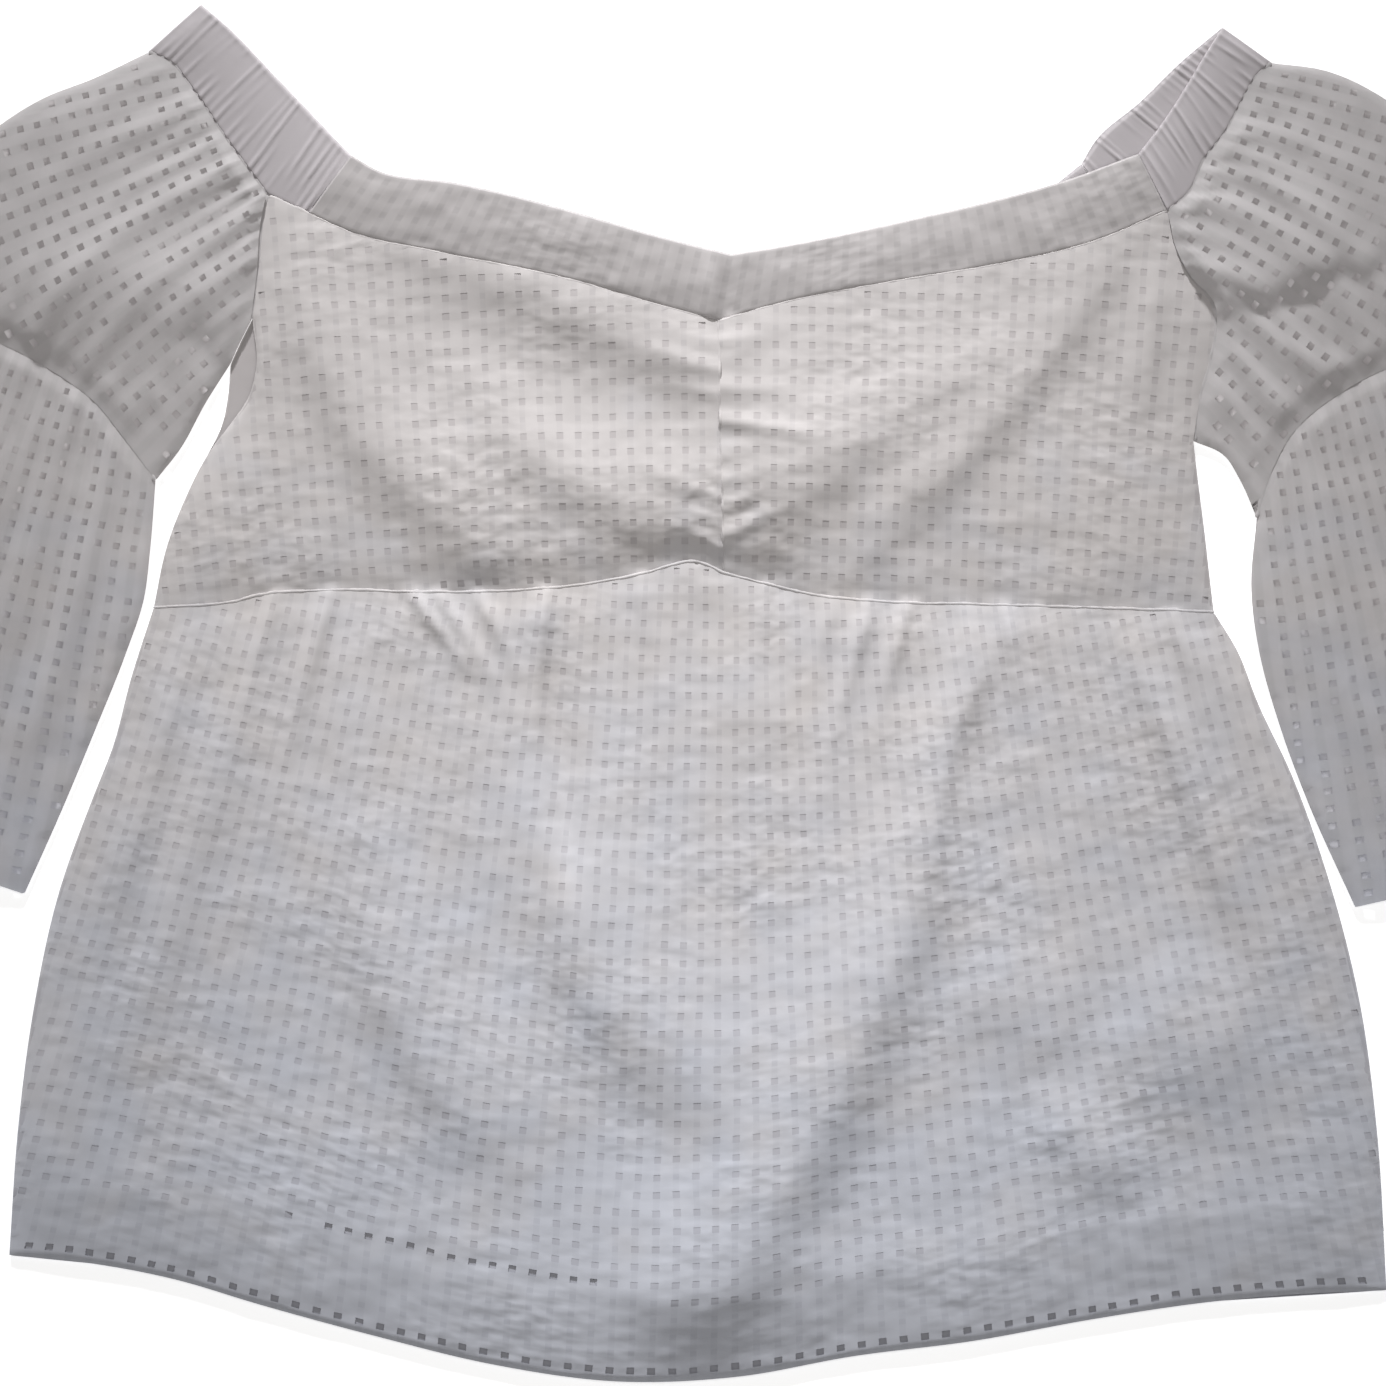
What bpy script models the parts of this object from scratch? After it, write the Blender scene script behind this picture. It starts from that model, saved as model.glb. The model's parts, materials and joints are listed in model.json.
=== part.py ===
"""A peasant blouse laid flat, face up, on a level surface.

Every cut piece of the garment is one closed cloth wall. The flat pattern of a
piece is a four-sided patch between seam lines, and its height comes from a soft
swell with folds, pleats and gathers laid over it. The tables are in millimetres,
x to the viewer's right and y towards the neck; the model itself is in metres.
"""
import bpy
import bmesh
import numpy as np
from collections import namedtuple

MM = 0.001

# Driving sizes, in millimetres
WALL = 1.3             # cloth wall of the front and the sleeves' upper side
BACK_WALL = 1.2        # cloth wall that rests on the surface
LAYER_GAP = 0.4        # air between the two layers of cloth
SEAM_GAP = 0.3         # clearance between two pieces along a seam
BASE = BACK_WALL + LAYER_GAP   # lowest level of the upper layer
SIDE_TAPER = 26.0      # width over which the front settles down to its side seams
SEAM_DRAW = 9.0        # reach of the dip that the under-bust seam draws into the cloth
SEAM_SINK = 0.45       # how much of the folds' height that seam takes away
HEM_FALL = 46.0        # how far above the hem the front starts to come down to the table
HEM_DEPTH = 34.0       # turned-up hem of the peplum
HEM_STEP = 0.5         # extra thickness of the turned-up hem
HEM_LEVEL = 0.12       # share of the folds' height that is left at the hem's edge
EDGE_LIFT = 0.25       # how far the front lies off the back at the least
EDGE_ROUND = 1.2       # rounding of a sleeve's folded edges

# Steps of the meshes
BODICE_COLUMNS = 27
BODICE_ROWS = 17
PEPLUM_COLUMNS = 54
PEPLUM_ROWS = 15
BAND_ROWS = 3
CREASE_STEPS = 16
PLEAT_STEPS = 26       # steps along a shoulder band, two for each of its pleats
ARMHOLE_STEPS = 10
SLEEVE_ROWS = 10
CUFF_ROWS = 5
BACK_ROWS = 12
BACK_COLUMNS = 14
BACK_SKIP = 2          # beside the band, the flat side of a sleeve takes every second column

Point = namedtuple("Point", "x y")
Section = namedtuple("Section", "y left right")
Rise = namedtuple("Rise", "y middle flank")
Crease = namedtuple("Crease", "x1 y1 x2 y2 x3 y3 above below grow height")
Gather = namedtuple("Gather", "x lean reach width height")
Pucker = namedtuple("Pucker", "y reach slant height")
Pleat = namedtuple("Pleat", "at width height reach")

# Seam and edge lines, each a row for one point
NECK_SEAM_LEFT = [Point(-181, 218.5), Point(-162, 210), Point(-119, 200), Point(-60, 187.5),
                  Point(-27, 178), Point(6, 169)]
NECK_SEAM_RIGHT = [Point(6, 169), Point(31, 176.5), Point(86, 187.5), Point(140, 196.5),
                   Point(177, 205.5), Point(211, 220)]
NECK_EDGE_LEFT = [Point(-161, 245), Point(-149, 238), Point(-114, 232), Point(-59, 218.5),
                  Point(-23, 208), Point(12, 199.5)]
NECK_EDGE_RIGHT = [Point(12, 199.5), Point(50, 206.5), Point(105, 218.5), Point(141, 227),
                   Point(165, 234), Point(197.5, 246)]
CENTRE_SEAM = [Point(8.5, 55), Point(8, 88), Point(7, 124), Point(6, 169)]
WAIST_LEFT = [Point(-252, 39), Point(-217, 41.5), Point(-202, 45), Point(-170, 47), Point(-122, 46),
              Point(-86, 47), Point(-60, 49), Point(-31, 54), Point(-1.5, 59.5), Point(8.5, 55)]
WAIST_RIGHT = [Point(8.5, 55), Point(31, 49), Point(49, 45), Point(86, 41.5), Point(122, 40.5),
               Point(177, 39), Point(232.5, 37)]
BAND_TO_BODICE = [Point(-181, 218.5), Point(-200, 227.5)]
ARMHOLE_LEFT = [Point(-200, 227.5), Point(-203, 212), Point(-204, 196), Point(-207, 171)]
ARMPIT_LEFT = [Point(-207, 171), Point(-213, 159), Point(-217, 150)]
FRONT_SIDE_LEFT = [Point(-207, 171), Point(-205, 148), Point(-209, 134.5), Point(-217, 123),
                   Point(-226, 111), Point(-238, 88), Point(-246, 67), Point(-252, 39)]
BACK_SIDE_LEFT = [Point(-217, 150), Point(-218, 137), Point(-221, 122), Point(-228, 108),
                  Point(-239, 86), Point(-246, 66), Point(-252, 39)]
ARMHOLE_RIGHT = [Point(211, 220), Point(215, 202), Point(222, 189), Point(232, 178), Point(233.5, 168),
                 Point(231, 152), Point(226, 134), Point(223, 115)]
SIDE_RIGHT = [Point(223, 115), Point(225, 99), Point(228, 76), Point(230.5, 54), Point(232.5, 37)]
PEPLUM_SIDE_LEFT = [Point(-252, 39), Point(-262, 8), Point(-271, -26), Point(-279, -46),
                    Point(-295, -90), Point(-307, -145), Point(-314, -199), Point(-318, -257)]
PEPLUM_SIDE_RIGHT = [Point(232.5, 37), Point(243.5, 19), Point(252, -3), Point(268, -37),
                     Point(285, -85), Point(299, -140), Point(307, -199), Point(311.5, -273)]
HEM = [Point(-318, -257), Point(-278, -261), Point(-242, -268), Point(-205, -279), Point(-150, -294),
       Point(-96, -307), Point(-41, -314.5), Point(14, -312.5), Point(68, -303), Point(123, -296),
       Point(178, -286), Point(233, -278), Point(267, -275), Point(311.5, -273)]

# Shoulder bands: the edge by the neck, the edge by the sleeve and the fold at the top
SHOULDER_NECK_LEFT = [Point(-161, 245), Point(-194, 279.5), Point(-221, 307), Point(-230, 314.5)]
SHOULDER_SLEEVE_LEFT = [Point(-200, 227.5), Point(-218, 252), Point(-235, 277), Point(-244, 288),
                        Point(-254, 293)]
SHOULDER_NECK_RIGHT = [Point(197.5, 246), Point(209, 261), Point(220, 278), Point(229, 293),
                       Point(236, 304)]
SHOULDER_SLEEVE_RIGHT = [Point(211, 220), Point(221, 228.5), Point(227.5, 243), Point(237.5, 256),
                         Point(245, 270), Point(252, 282), Point(258.5, 288)]
BACK_NECK_LEFT = [Point(-162, 243), Point(-190, 273), Point(-218, 302), Point(-230, 314.5)]
BACK_NECK_RIGHT = [Point(172, 242), Point(178, 252), Point(199, 270.5), Point(218, 289),
                   Point(236, 304)]
BACK_NECK_EDGE = [Point(-162, 243), Point(-148, 233), Point(-59, 215), Point(12, 196), Point(105, 214),
                  Point(155, 229), Point(172, 242)]
BACK_BAND_SEAM = [Point(-181, 218.5), Point(-150, 204), Point(-60, 184), Point(12, 167), Point(90, 184),
                  Point(150, 200), Point(190, 216)]
BACK_WAIST = [Point(-252, 39), Point(-120, 44), Point(0, 45), Point(120, 42), Point(232.5, 37)]
BACK_HEM = [Point(-318, -257), Point(-242, -266), Point(-150, -290), Point(-41, -309),
            Point(68, -299), Point(178, -283), Point(311.5, -273)]

# Sleeves: outer edge and inner edge of the puff and of the flare, elbow seam and cuff
PUFF_OUTER_LEFT = [Point(-254, 293), Point(-279, 281), Point(-303, 271.5), Point(-328, 255),
                   Point(-350, 233), Point(-366, 208), Point(-376, 179)]
PUFF_INNER_LEFT = [Point(-217, 150), Point(-227.5, 133.5), Point(-240, 111), Point(-251, 97)]
ELBOW_LEFT = [Point(-376, 179), Point(-349, 169), Point(-321, 159), Point(-296, 145.5), Point(-279, 133),
              Point(-266, 117), Point(-251, 97)]
FLARE_OUTER_LEFT = [Point(-376, 179), Point(-392, 143), Point(-417, 88), Point(-442, 33),
                    Point(-462, -13)]
FLARE_INNER_LEFT = [Point(-251, 97), Point(-253.5, 65), Point(-256.5, 42), Point(-264, 19.5),
                    Point(-279, -18), Point(-294, -54), Point(-311, -92)]
CUFF_LEFT = [Point(-462, -13), Point(-408, -49), Point(-358, -75), Point(-311, -92)]
PUFF_OUTER_RIGHT = [Point(258.5, 288), Point(285, 284), Point(313, 270), Point(339, 247), Point(358, 218),
                    Point(369, 190.5), Point(373, 163)]
PUFF_INNER_RIGHT = [Point(223, 115), Point(237, 108.5), Point(244.5, 97), Point(252, 80)]
ELBOW_RIGHT = [Point(373, 163), Point(347, 159), Point(319, 151), Point(292, 138), Point(268, 118),
               Point(258, 99), Point(252, 80)]
FLARE_OUTER_RIGHT = [Point(373, 163), Point(390, 124.5), Point(414, 72), Point(439, 20), Point(462, -24)]
FLARE_INNER_RIGHT = [Point(252, 80), Point(249.5, 48), Point(253, 19.5), Point(262.5, -15),
                     Point(275, -49), Point(297, -98)]
CUFF_RIGHT = [Point(462, -24), Point(408, -59), Point(349, -85), Point(297, -98)]

# Width of the front at a few heights, for settling it down towards its sides
BODY_SECTIONS = [Section(-320, -318, 312), Section(-199, -314, 307), Section(-90, -295, 285),
                 Section(8, -262, 248), Section(39, -252, 232), Section(88, -238, 227),
                 Section(134, -210, 226), Section(171, -207, 233), Section(228, -200, 212),
                 Section(320, -230, 236)]

# How far the front lies off the back down its middle and down its two flanks
BODY_RISES = [
    Rise(250, 2.6, 2.2), Rise(218, 2.8, 2.4), Rise(174, 3.2, 2.8), Rise(134, 4.0, 3.2),
    Rise(104, 5.6, 3.6), Rise(80, 4.6, 3.4), Rise(61, 2.8, 2.6), Rise(45, 1.8, 1.8),
    Rise(20, 3.2, 2.8), Rise(-49, 4.8, 4.2), Rise(-140, 5.4, 4.8), Rise(-208, 5.4, 4.8),
    Rise(-240, 5.6, 5.0), Rise(-320, 5.4, 5.0),
]

# Long creases of the front: start, middle and end, half width above and below the line,
# how much wider the far end is, and the height (a trough is below zero)
FRONT_CREASES = [
    Crease(-198, 236, -153, 118, -62, 40, 30, 16, 2.0, 6.4),
    Crease(-112, 152, -68, 102, 10, 66, 20, 16, 1.3, 5.4),
    Crease(-58, 100, 0, 104, 56, 96, 26, 21, 1.0, 3.0),
    Crease(-168, 216, -62, 187, 22, 134, 40, 21, 1.3, 7.0),
    Crease(-6, 44, 70, 118, 150, 168, 26, 17, 0.7, 6.0),
    Crease(50, 44, 135, 130, 208, 226, 22, 11, 0.7, 4.4),
    Crease(-206, 116, -199, 170, -192, 218, 9, 7, 1.0, 2.4),
    Crease(198, 112, 202, 165, 207, 210, 9, 7, 1.0, 2.6),
    Crease(-152, -110, -157, -31, -160, 40, 14, 8, 1.0, 2.0),
    Crease(-155, -66, -134, -147, -66, -232, 32, 17, 1.4, 5.2),
    Crease(-58, -110, -66, -35, -72, 40, 6, 9, 1.0, -3.4),
    Crease(-72, -66, -28, -146, 34, -200, 38, 22, 1.5, 7.4),
    Crease(-30, -336, 64, -168, 110, -62, 38, 20, 0.55, 8.8),
    Crease(98, -110, 112, -17, 141, 42, 15, 8, 1.0, 3.8),
    Crease(186, 44, 216, -31, 252, -136, 14, 7, 1.0, 3.8),
    Crease(222, 44, 248, -8, 284, -84, 14, 11, 1.0, 3.4),
    Crease(176, -142, 222, -156, 272, -160, 34, 32, 1.0, 4.0),
    Crease(146, -180, 172, -204, 190, -238, 20, 16, 1.0, 3.2),
    Crease(104, -132, 144, -142, 184, -148, 26, 24, 1.0, 2.4),
    Crease(-278, -130, -253, -40, -236, 40, 10, 9, 1.0, 3.2),
    Crease(-268, -190, -228, -49, -204, 36, 12, 12, 1.0, 3.0),
    Crease(-12, -2, 18, -6, 48, -20, 18, 20, 1.0, 1.4),
    Crease(-62, -270, 12, -282, 88, -264, 36, 26, 1.0, 4.0),
]

# Small gathers below the under-bust seam
WAIST_GATHERS = [
    Gather(-196, -0.28, 46, 4.0, 1.4), Gather(-171, -0.26, 60, 4.5, 2.2), Gather(-139, 0.20, 44, 4.0, 2.4),
    Gather(-121, 0.26, 52, 4.5, 1.8), Gather(-104, 0.22, 30, 4.0, 1.6), Gather(-73, -0.08, 52, 4.0, 2.2),
    Gather(-30, 0.12, 40, 4.0, 1.3), Gather(28, -0.10, 26, 3.6, 1.2), Gather(58, -0.22, 30, 4.0, 1.2),
    Gather(75, -0.26, 58, 4.5, 2.0), Gather(92, -0.24, 40, 4.0, 2.2), Gather(118, 0.12, 48, 4.0, 1.4),
    Gather(137, 0.16, 64, 4.5, 2.4), Gather(151, 0.22, 34, 4.0, 1.5), Gather(213, 0.30, 56, 4.5, 1.8),
]

# Puckers drawn out of the centre front seam, to the left and to the right
CENTRE_PUCKERS_LEFT = [
    Pucker(157, 22, 0.34, 1.0), Pucker(147, 34, 0.28, 1.7), Pucker(136, 18, 0.20, 0.8),
    Pucker(120, 16, 0.10, 0.5), Pucker(100, 24, 0.16, 0.9), Pucker(88, 34, 0.40, 1.5),
    Pucker(77, 22, 0.34, 1.1), Pucker(66, 30, 0.50, 1.3),
]
CENTRE_PUCKERS_RIGHT = [
    Pucker(159, 26, 0.22, 1.1), Pucker(151, 16, 0.30, 0.7), Pucker(139, 40, -0.05, 1.3),
    Pucker(124, 56, -0.14, 2.0), Pucker(111, 22, 0.06, 0.7), Pucker(96, 30, 0.20, 1.1),
    Pucker(84, 24, 0.44, 1.3), Pucker(71, 36, 0.48, 1.5),
]

# Pleats of a sleeve as shares of its width, from its outer edge to its inner edge
PUFF_PLEATS = [Pleat(0.09, 0.020, 3.4, 0.50), Pleat(0.16, 0.018, 2.8, 0.34), Pleat(0.24, 0.022, 4.2, 0.62),
               Pleat(0.32, 0.018, 3.0, 0.40), Pleat(0.40, 0.022, 4.6, 0.70), Pleat(0.48, 0.018, 3.4, 0.44),
               Pleat(0.56, 0.020, 4.2, 0.58), Pleat(0.64, 0.020, 3.6, 0.48), Pleat(0.73, 0.022, 3.8, 0.66),
               Pleat(0.82, 0.020, 3.0, 0.50), Pleat(0.91, 0.020, 2.4, 0.44)]
ELBOW_PLEATS = [Pleat(0.08, 0.020, 2.6, 0.30), Pleat(0.17, 0.020, 3.4, 0.42), Pleat(0.26, 0.018, 2.8, 0.26),
                Pleat(0.35, 0.022, 3.8, 0.48), Pleat(0.44, 0.018, 3.0, 0.34), Pleat(0.53, 0.022, 3.8, 0.52),
                Pleat(0.62, 0.020, 3.2, 0.36), Pleat(0.71, 0.022, 3.6, 0.44), Pleat(0.80, 0.020, 3.0, 0.40),
                Pleat(0.90, 0.022, 2.6, 0.32)]
FLARE_WAVES = [Pleat(0.12, 0.050, 3.0, 0.80), Pleat(0.30, 0.045, 4.4, 0.90), Pleat(0.48, 0.055, 3.6, 0.75),
               Pleat(0.66, 0.045, 4.6, 0.90), Pleat(0.84, 0.050, 3.2, 0.80)]
# Long creases of the upper sleeves, in the same terms as those of the front
PUFF_CREASES_LEFT = [
    Crease(-352, 190, -268, 184, -192, 176, 22, 26, 1.0, 4.6),
    Crease(-330, 240, -279, 270, -238, 284, 5, 12, 1.0, 2.2),
    Crease(-238, 170, -228, 156, -219, 140, 7, 7, 1.0, -2.6),
]
PUFF_CREASES_RIGHT = [
    Crease(196, 164, 249, 188, 330, 214, 24, 13, 1.2, 4.4),
    Crease(212, 160, 249, 174, 330, 200, 5, 5, 1.0, -2.4),
    Crease(226, 258, 253, 240, 296, 204, 14, 9, 1.3, 3.4),
]
PUFF_SWELL = 5.0
FLARE_SWELL = 2.4
BAND_SWELL = 1.6
BAND_PLEAT = 1.5       # height of the ruching on a shoulder band
CENTRE_PINCH = 1.4     # the small pinch at the middle of the front band
BAND_ROLL = 1.2        # how far the front band bulges between its seam and its top edge
BAND_RISE_LEFT = 2.6   # how much higher its top edge lies on the left, where it stands up
BAND_RISE_RIGHT = 0.2  # the same on the right, where it lies down
CREASE_TAPER = 1.5     # how gently a crease rises out of the cloth at its two ends
CREASE_CREST = 2.5     # width of the round crest between a crease's two flanks
PUCKER_WIDTH = 4.2     # half width of a pucker, and how far from the seam it is highest
PUCKER_START = 6.0
MIDDLE_X = 5.0         # middle of the front, and how far to each side its swell reaches
MIDDLE_REACH = 130.0

# Finishes: colour and roughness of the cloth
OPENWORK = ((0.78, 0.79, 0.80, 1.0), 0.86)      # white cotton with rows of small holes, lined
BACK_OPENWORK = ((0.70, 0.71, 0.72, 1.0), 0.86)
PLAIN_BAND = ((0.80, 0.81, 0.82, 1.0), 0.82)
RUCHED_BAND = ((0.79, 0.80, 0.81, 1.0), 0.84)
UNLINED = ((0.74, 0.75, 0.76, 1.0), 0.88)       # the same cloth with nothing behind it


# ---- lines and patches -------------------------------------------------------------
def smooth_line(rows, steps):
    """Points at even steps along a smooth line through the rows."""
    rows = np.array(rows, float)
    if len(rows) == 2:
        shares = np.linspace(0, 1, steps + 1)[:, None]
        return rows[0] * (1 - shares) + rows[1] * shares
    along = np.concatenate([[0], np.cumsum(np.linalg.norm(np.diff(rows, axis=0), axis=1))])
    slope = np.gradient(rows, along, axis=0)
    fine = np.linspace(0, along[-1], 40 * len(rows))
    span = np.clip(np.searchsorted(along, fine, side="right") - 1, 0, len(rows) - 2)
    length = (along[span + 1] - along[span])[:, None]
    u = (fine[:, None] - along[span][:, None]) / length
    dense = ((2 * u**3 - 3 * u**2 + 1) * rows[span] + (u**3 - 2 * u**2 + u) * length * slope[span]
             + (3 * u**2 - 2 * u**3) * rows[span + 1] + (u**3 - u**2) * length * slope[span + 1])
    reach = np.concatenate([[0], np.cumsum(np.linalg.norm(np.diff(dense, axis=0), axis=1))])
    even = np.linspace(0, reach[-1], steps + 1)
    return np.stack([np.interp(even, reach, dense[:, axis]) for axis in (0, 1)], axis=1)


def joined(*lines):
    """One line from several that follow each other end to end."""
    parts = [lines[0]] + [line[1:] for line in lines[1:]]
    return np.concatenate(parts)


def inset(near, far, start, end, gap):
    """Move the outline of a four-sided piece in by the gap, with true corners."""
    loop = np.concatenate([near[:-1], end[:-1], far[::-1][:-1], start[::-1][:-1]])
    before = loop - np.roll(loop, 1, axis=0)
    after = np.roll(loop, -1, axis=0) - loop
    area = np.sum(loop[:, 0] * np.roll(loop[:, 1], -1) - np.roll(loop[:, 0], -1) * loop[:, 1])
    turn = 1.0 if area > 0 else -1.0
    normals = []
    for edge in (before, after):
        unit = edge / np.linalg.norm(edge, axis=1)[:, None]
        normals.append(turn * np.stack([-unit[:, 1], unit[:, 0]], axis=1))
    spread = 1 + np.sum(normals[0] * normals[1], axis=1)
    moved = loop + gap * (normals[0] + normals[1]) / np.maximum(spread, 0.35)[:, None]
    closed = np.concatenate([moved, moved[:1]])
    a = len(near) - 1
    b = a + len(end) - 1
    c = b + len(far) - 1
    return closed[:a + 1], closed[b:c + 1][::-1], closed[c:][::-1], closed[a:b + 1]


def shares_along(line):
    reach = np.concatenate([[0], np.cumsum(np.linalg.norm(np.diff(line, axis=0), axis=1))])
    return reach / reach[-1]


def patch(near, far, start, end, gap=SEAM_GAP / 2):
    """A net of points inside four lines: near and far run along s, start and end along t."""
    near, far, start, end = inset(near, far, start, end, gap)
    s = ((shares_along(near) + shares_along(far)) / 2)[:, None, None]
    t = ((shares_along(start) + shares_along(end)) / 2)[None, :, None]
    corners = ((1 - s) * (1 - t) * near[0] + s * (1 - t) * near[-1]
               + (1 - s) * t * far[0] + s * t * far[-1])
    return ((1 - t) * near[:, None] + t * far[:, None]
            + (1 - s) * start[None] + s * end[None] - corners)


# ---- heights -----------------------------------------------------------------------
def bell(distance, width):
    return np.exp(-(distance / width) ** 2)


def soft_step(value):
    value = np.clip(value, 0, 1)
    return value * value * (3 - 2 * value)


def settled(distance, reach):
    """From 0 at an edge to 1 at the reach, steepest at the edge."""
    return np.clip(2 * soft_step(0.5 * distance / reach + 0.5) - 1, 0, 1)


def near_line(x, y, line):
    """Distance to a line of points, how far along it the nearest place is, and which side."""
    best = np.full(x.shape, 1e9)
    share = np.zeros(x.shape)
    side = np.zeros(x.shape)
    for k in range(len(line) - 1):
        ax, ay = line[k]
        dx, dy = line[k + 1] - line[k]
        f = np.clip(((x - ax) * dx + (y - ay) * dy) / (dx * dx + dy * dy), 0, 1)
        distance = np.hypot(x - ax - f * dx, y - ay - f * dy)
        closer = distance < best
        best = np.where(closer, distance, best)
        share = np.where(closer, (k + f) / (len(line) - 1), share)
        side = np.where(closer, dx * (y - ay) - dy * (x - ax), side)
    return best, share, side


def crease_height(x, y, crease):
    """A ridge with a gentle and a steep flank along a bent line, fading out at both ends."""
    line = smooth_line([(crease.x1, crease.y1), (crease.x2, crease.y2), (crease.x3, crease.y3)],
                       CREASE_STEPS)
    distance, share, side = near_line(x, y, line)
    size = (1 + (crease.grow - 1) * share) * 2 / (1 + crease.grow)
    above = bell(distance, crease.above * size)
    below = bell(distance, crease.below * size)
    blend = soft_step(0.5 + 0.5 * np.sign(side) * np.clip(distance / CREASE_CREST, 0, 1))
    ends = np.clip(np.sin(np.pi * share), 0, 1) ** CREASE_TAPER
    return crease.height * ends * (above * blend + below * (1 - blend))


def creases_height(x, y, creases):
    return sum(crease_height(x, y, crease) for crease in creases)


def smooth_between(value, at, heights):
    """A smooth curve through heights at rising places."""
    slope = np.gradient(heights, at)
    k = np.clip(np.searchsorted(at, value, side="right") - 1, 0, len(at) - 2)
    length = at[k + 1] - at[k]
    u = np.clip((value - at[k]) / length, 0, 1)
    return ((2 * u**3 - 3 * u**2 + 1) * heights[k] + (u**3 - 2 * u**2 + u) * length * slope[k]
            + (3 * u**2 - 2 * u**3) * heights[k + 1] + (u**3 - u**2) * length * slope[k + 1])


def line_height(x, line):
    """The y of a seam line above each x."""
    order = np.argsort(line[:, 0])
    return np.interp(x, line[order, 0], line[order, 1])


WAIST_LINE = joined(smooth_line(WAIST_LEFT, 40), smooth_line(WAIST_RIGHT, 40))
HEM_LINE = smooth_line(HEM, 60)
NECK_LINE = joined(smooth_line(NECK_SEAM_LEFT, 30), smooth_line(NECK_SEAM_RIGHT, 30))


def front_relief(x, y):
    """Height of the front above its lowest level, the same on every front piece."""
    table = np.array(BODY_SECTIONS, float)
    left = np.interp(y, table[:, 0], table[:, 1])
    right = np.interp(y, table[:, 0], table[:, 2])
    inside = settled(np.minimum(x - left, right - x), SIDE_TAPER) ** 0.8
    rises = np.array(BODY_RISES[::-1], float)
    centre = bell(x - MIDDLE_X, MIDDLE_REACH)
    relief = (smooth_between(y, rises[:, 0], rises[:, 1]) * centre
              + smooth_between(y, rises[:, 0], rises[:, 2]) * (1 - centre))
    relief = relief + creases_height(x, y, FRONT_CREASES)
    waist = y - line_height(x, WAIST_LINE)
    for gather in WAIST_GATHERS:
        below = np.clip(-waist, 0, None)
        across = x - gather.x - gather.lean * below
        fade = bell(below, gather.reach) * soft_step(-waist / 3 + 0.6)
        relief = relief + gather.height * fade * bell(across, gather.width)
    middle = np.interp(y, [CENTRE_SEAM[0].y, CENTRE_SEAM[-1].y], [CENTRE_SEAM[0].x, CENTRE_SEAM[-1].x])
    for side, puckers in ((-1, CENTRE_PUCKERS_LEFT), (1, CENTRE_PUCKERS_RIGHT)):
        out = side * (x - middle)
        for pucker in puckers:
            fade = np.where(out > 0, bell(out - PUCKER_START, pucker.reach * 0.62), 0)
            off = y - pucker.y - pucker.slant * out
            relief = relief + pucker.height * fade * bell(off, PUCKER_WIDTH)
    relief = relief * (1 - SEAM_SINK * bell(waist, SEAM_DRAW))
    hem = settled(y - line_height(x, HEM_LINE), HEM_FALL)
    relief = relief * inside * (HEM_LEVEL + (1 - HEM_LEVEL) * hem)
    return np.maximum(relief, 0.0) + EDGE_LIFT * inside


def hem_step(x, y):
    return HEM_STEP * (y - line_height(x, HEM_LINE) < HEM_DEPTH)


def pleat_height(s, t, pleats):
    """Pleats that start at t = 0 and fade along t, each with its own reach."""
    height = np.zeros(np.broadcast(s, t).shape)
    for pleat in pleats:
        height = height + pleat.height * bell(t, pleat.reach) * bell(s - pleat.at, pleat.width * 1.4)
    return height


def tube_profile(s):
    """Fullness across a flattened tube, from one folded edge to the other."""
    return np.sin(np.pi * np.clip(s, 0, 1)) ** 0.7


def puff_relief(s, t):
    """A puffed sleeve: swollen in the middle, pleated at its top and at its elbow seam."""
    across = tube_profile(s)
    swell = PUFF_SWELL * across * (0.35 + 0.65 * np.sin(np.pi * np.clip(t, 0, 1)))
    pleats = pleat_height(s, t, PUFF_PLEATS) * across
    return swell + pleats + pleat_height(s, 1 - t, ELBOW_PLEATS) * across


def flare_relief(s, t):
    """A flared sleeve: pleated at the elbow seam, with broad waves towards the cuff."""
    across = tube_profile(s)
    swell = FLARE_SWELL * across * (0.5 + 0.5 * t)
    pleats = pleat_height(s, t, ELBOW_PLEATS)
    return swell + (pleats + pleat_height(s, 1 - t, FLARE_WAVES)) * across


# ---- cloth walls -------------------------------------------------------------------
def fabric(name, colour, roughness):
    material = bpy.data.materials.new(name)
    material.use_nodes = True
    shader = material.node_tree.nodes["Principled BSDF"]
    shader.inputs["Base Color"].default_value = colour
    shader.inputs["Roughness"].default_value = roughness
    return material


def wall_object(name, outer, inner, finish, around=False):
    """A closed wall between an outer and an inner net of points."""
    mesh = bpy.data.meshes.new(name)
    work = bmesh.new()
    columns, rows = outer.shape[:2]
    nets = []
    for net in (outer, inner):
        nets.append([[work.verts.new(net[i, j] * MM) for j in range(rows)] for i in range(columns)])
    spans = columns if around else columns - 1
    for i in range(spans):
        k = (i + 1) % columns
        for j in range(rows - 1):
            a, b = nets
            work.faces.new((a[i][j], a[k][j], a[k][j + 1], a[i][j + 1]))
            work.faces.new((b[i][j + 1], b[k][j + 1], b[k][j], b[i][j]))
        for j in (0, rows - 1):
            rim = (nets[0][k][j], nets[0][i][j], nets[1][i][j], nets[1][k][j])
            work.faces.new(rim if j == 0 else rim[::-1])
    if not around:
        for i in (0, columns - 1):
            for j in range(rows - 1):
                rim = (nets[0][i][j], nets[0][i][j + 1], nets[1][i][j + 1], nets[1][i][j])
                work.faces.new(rim if i == 0 else rim[::-1])
    bmesh.ops.recalc_face_normals(work, faces=work.faces)
    bmesh.ops.triangulate(work, faces=work.faces, quad_method="SHORT_EDGE")
    work.to_mesh(mesh)
    work.free()
    mesh.materials.append(fabric(name + "_cloth", *finish))
    piece = bpy.data.objects.new(name, mesh)
    bpy.context.collection.objects.link(piece)
    for polygon in mesh.polygons:
        polygon.use_smooth = True
    return piece


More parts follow.
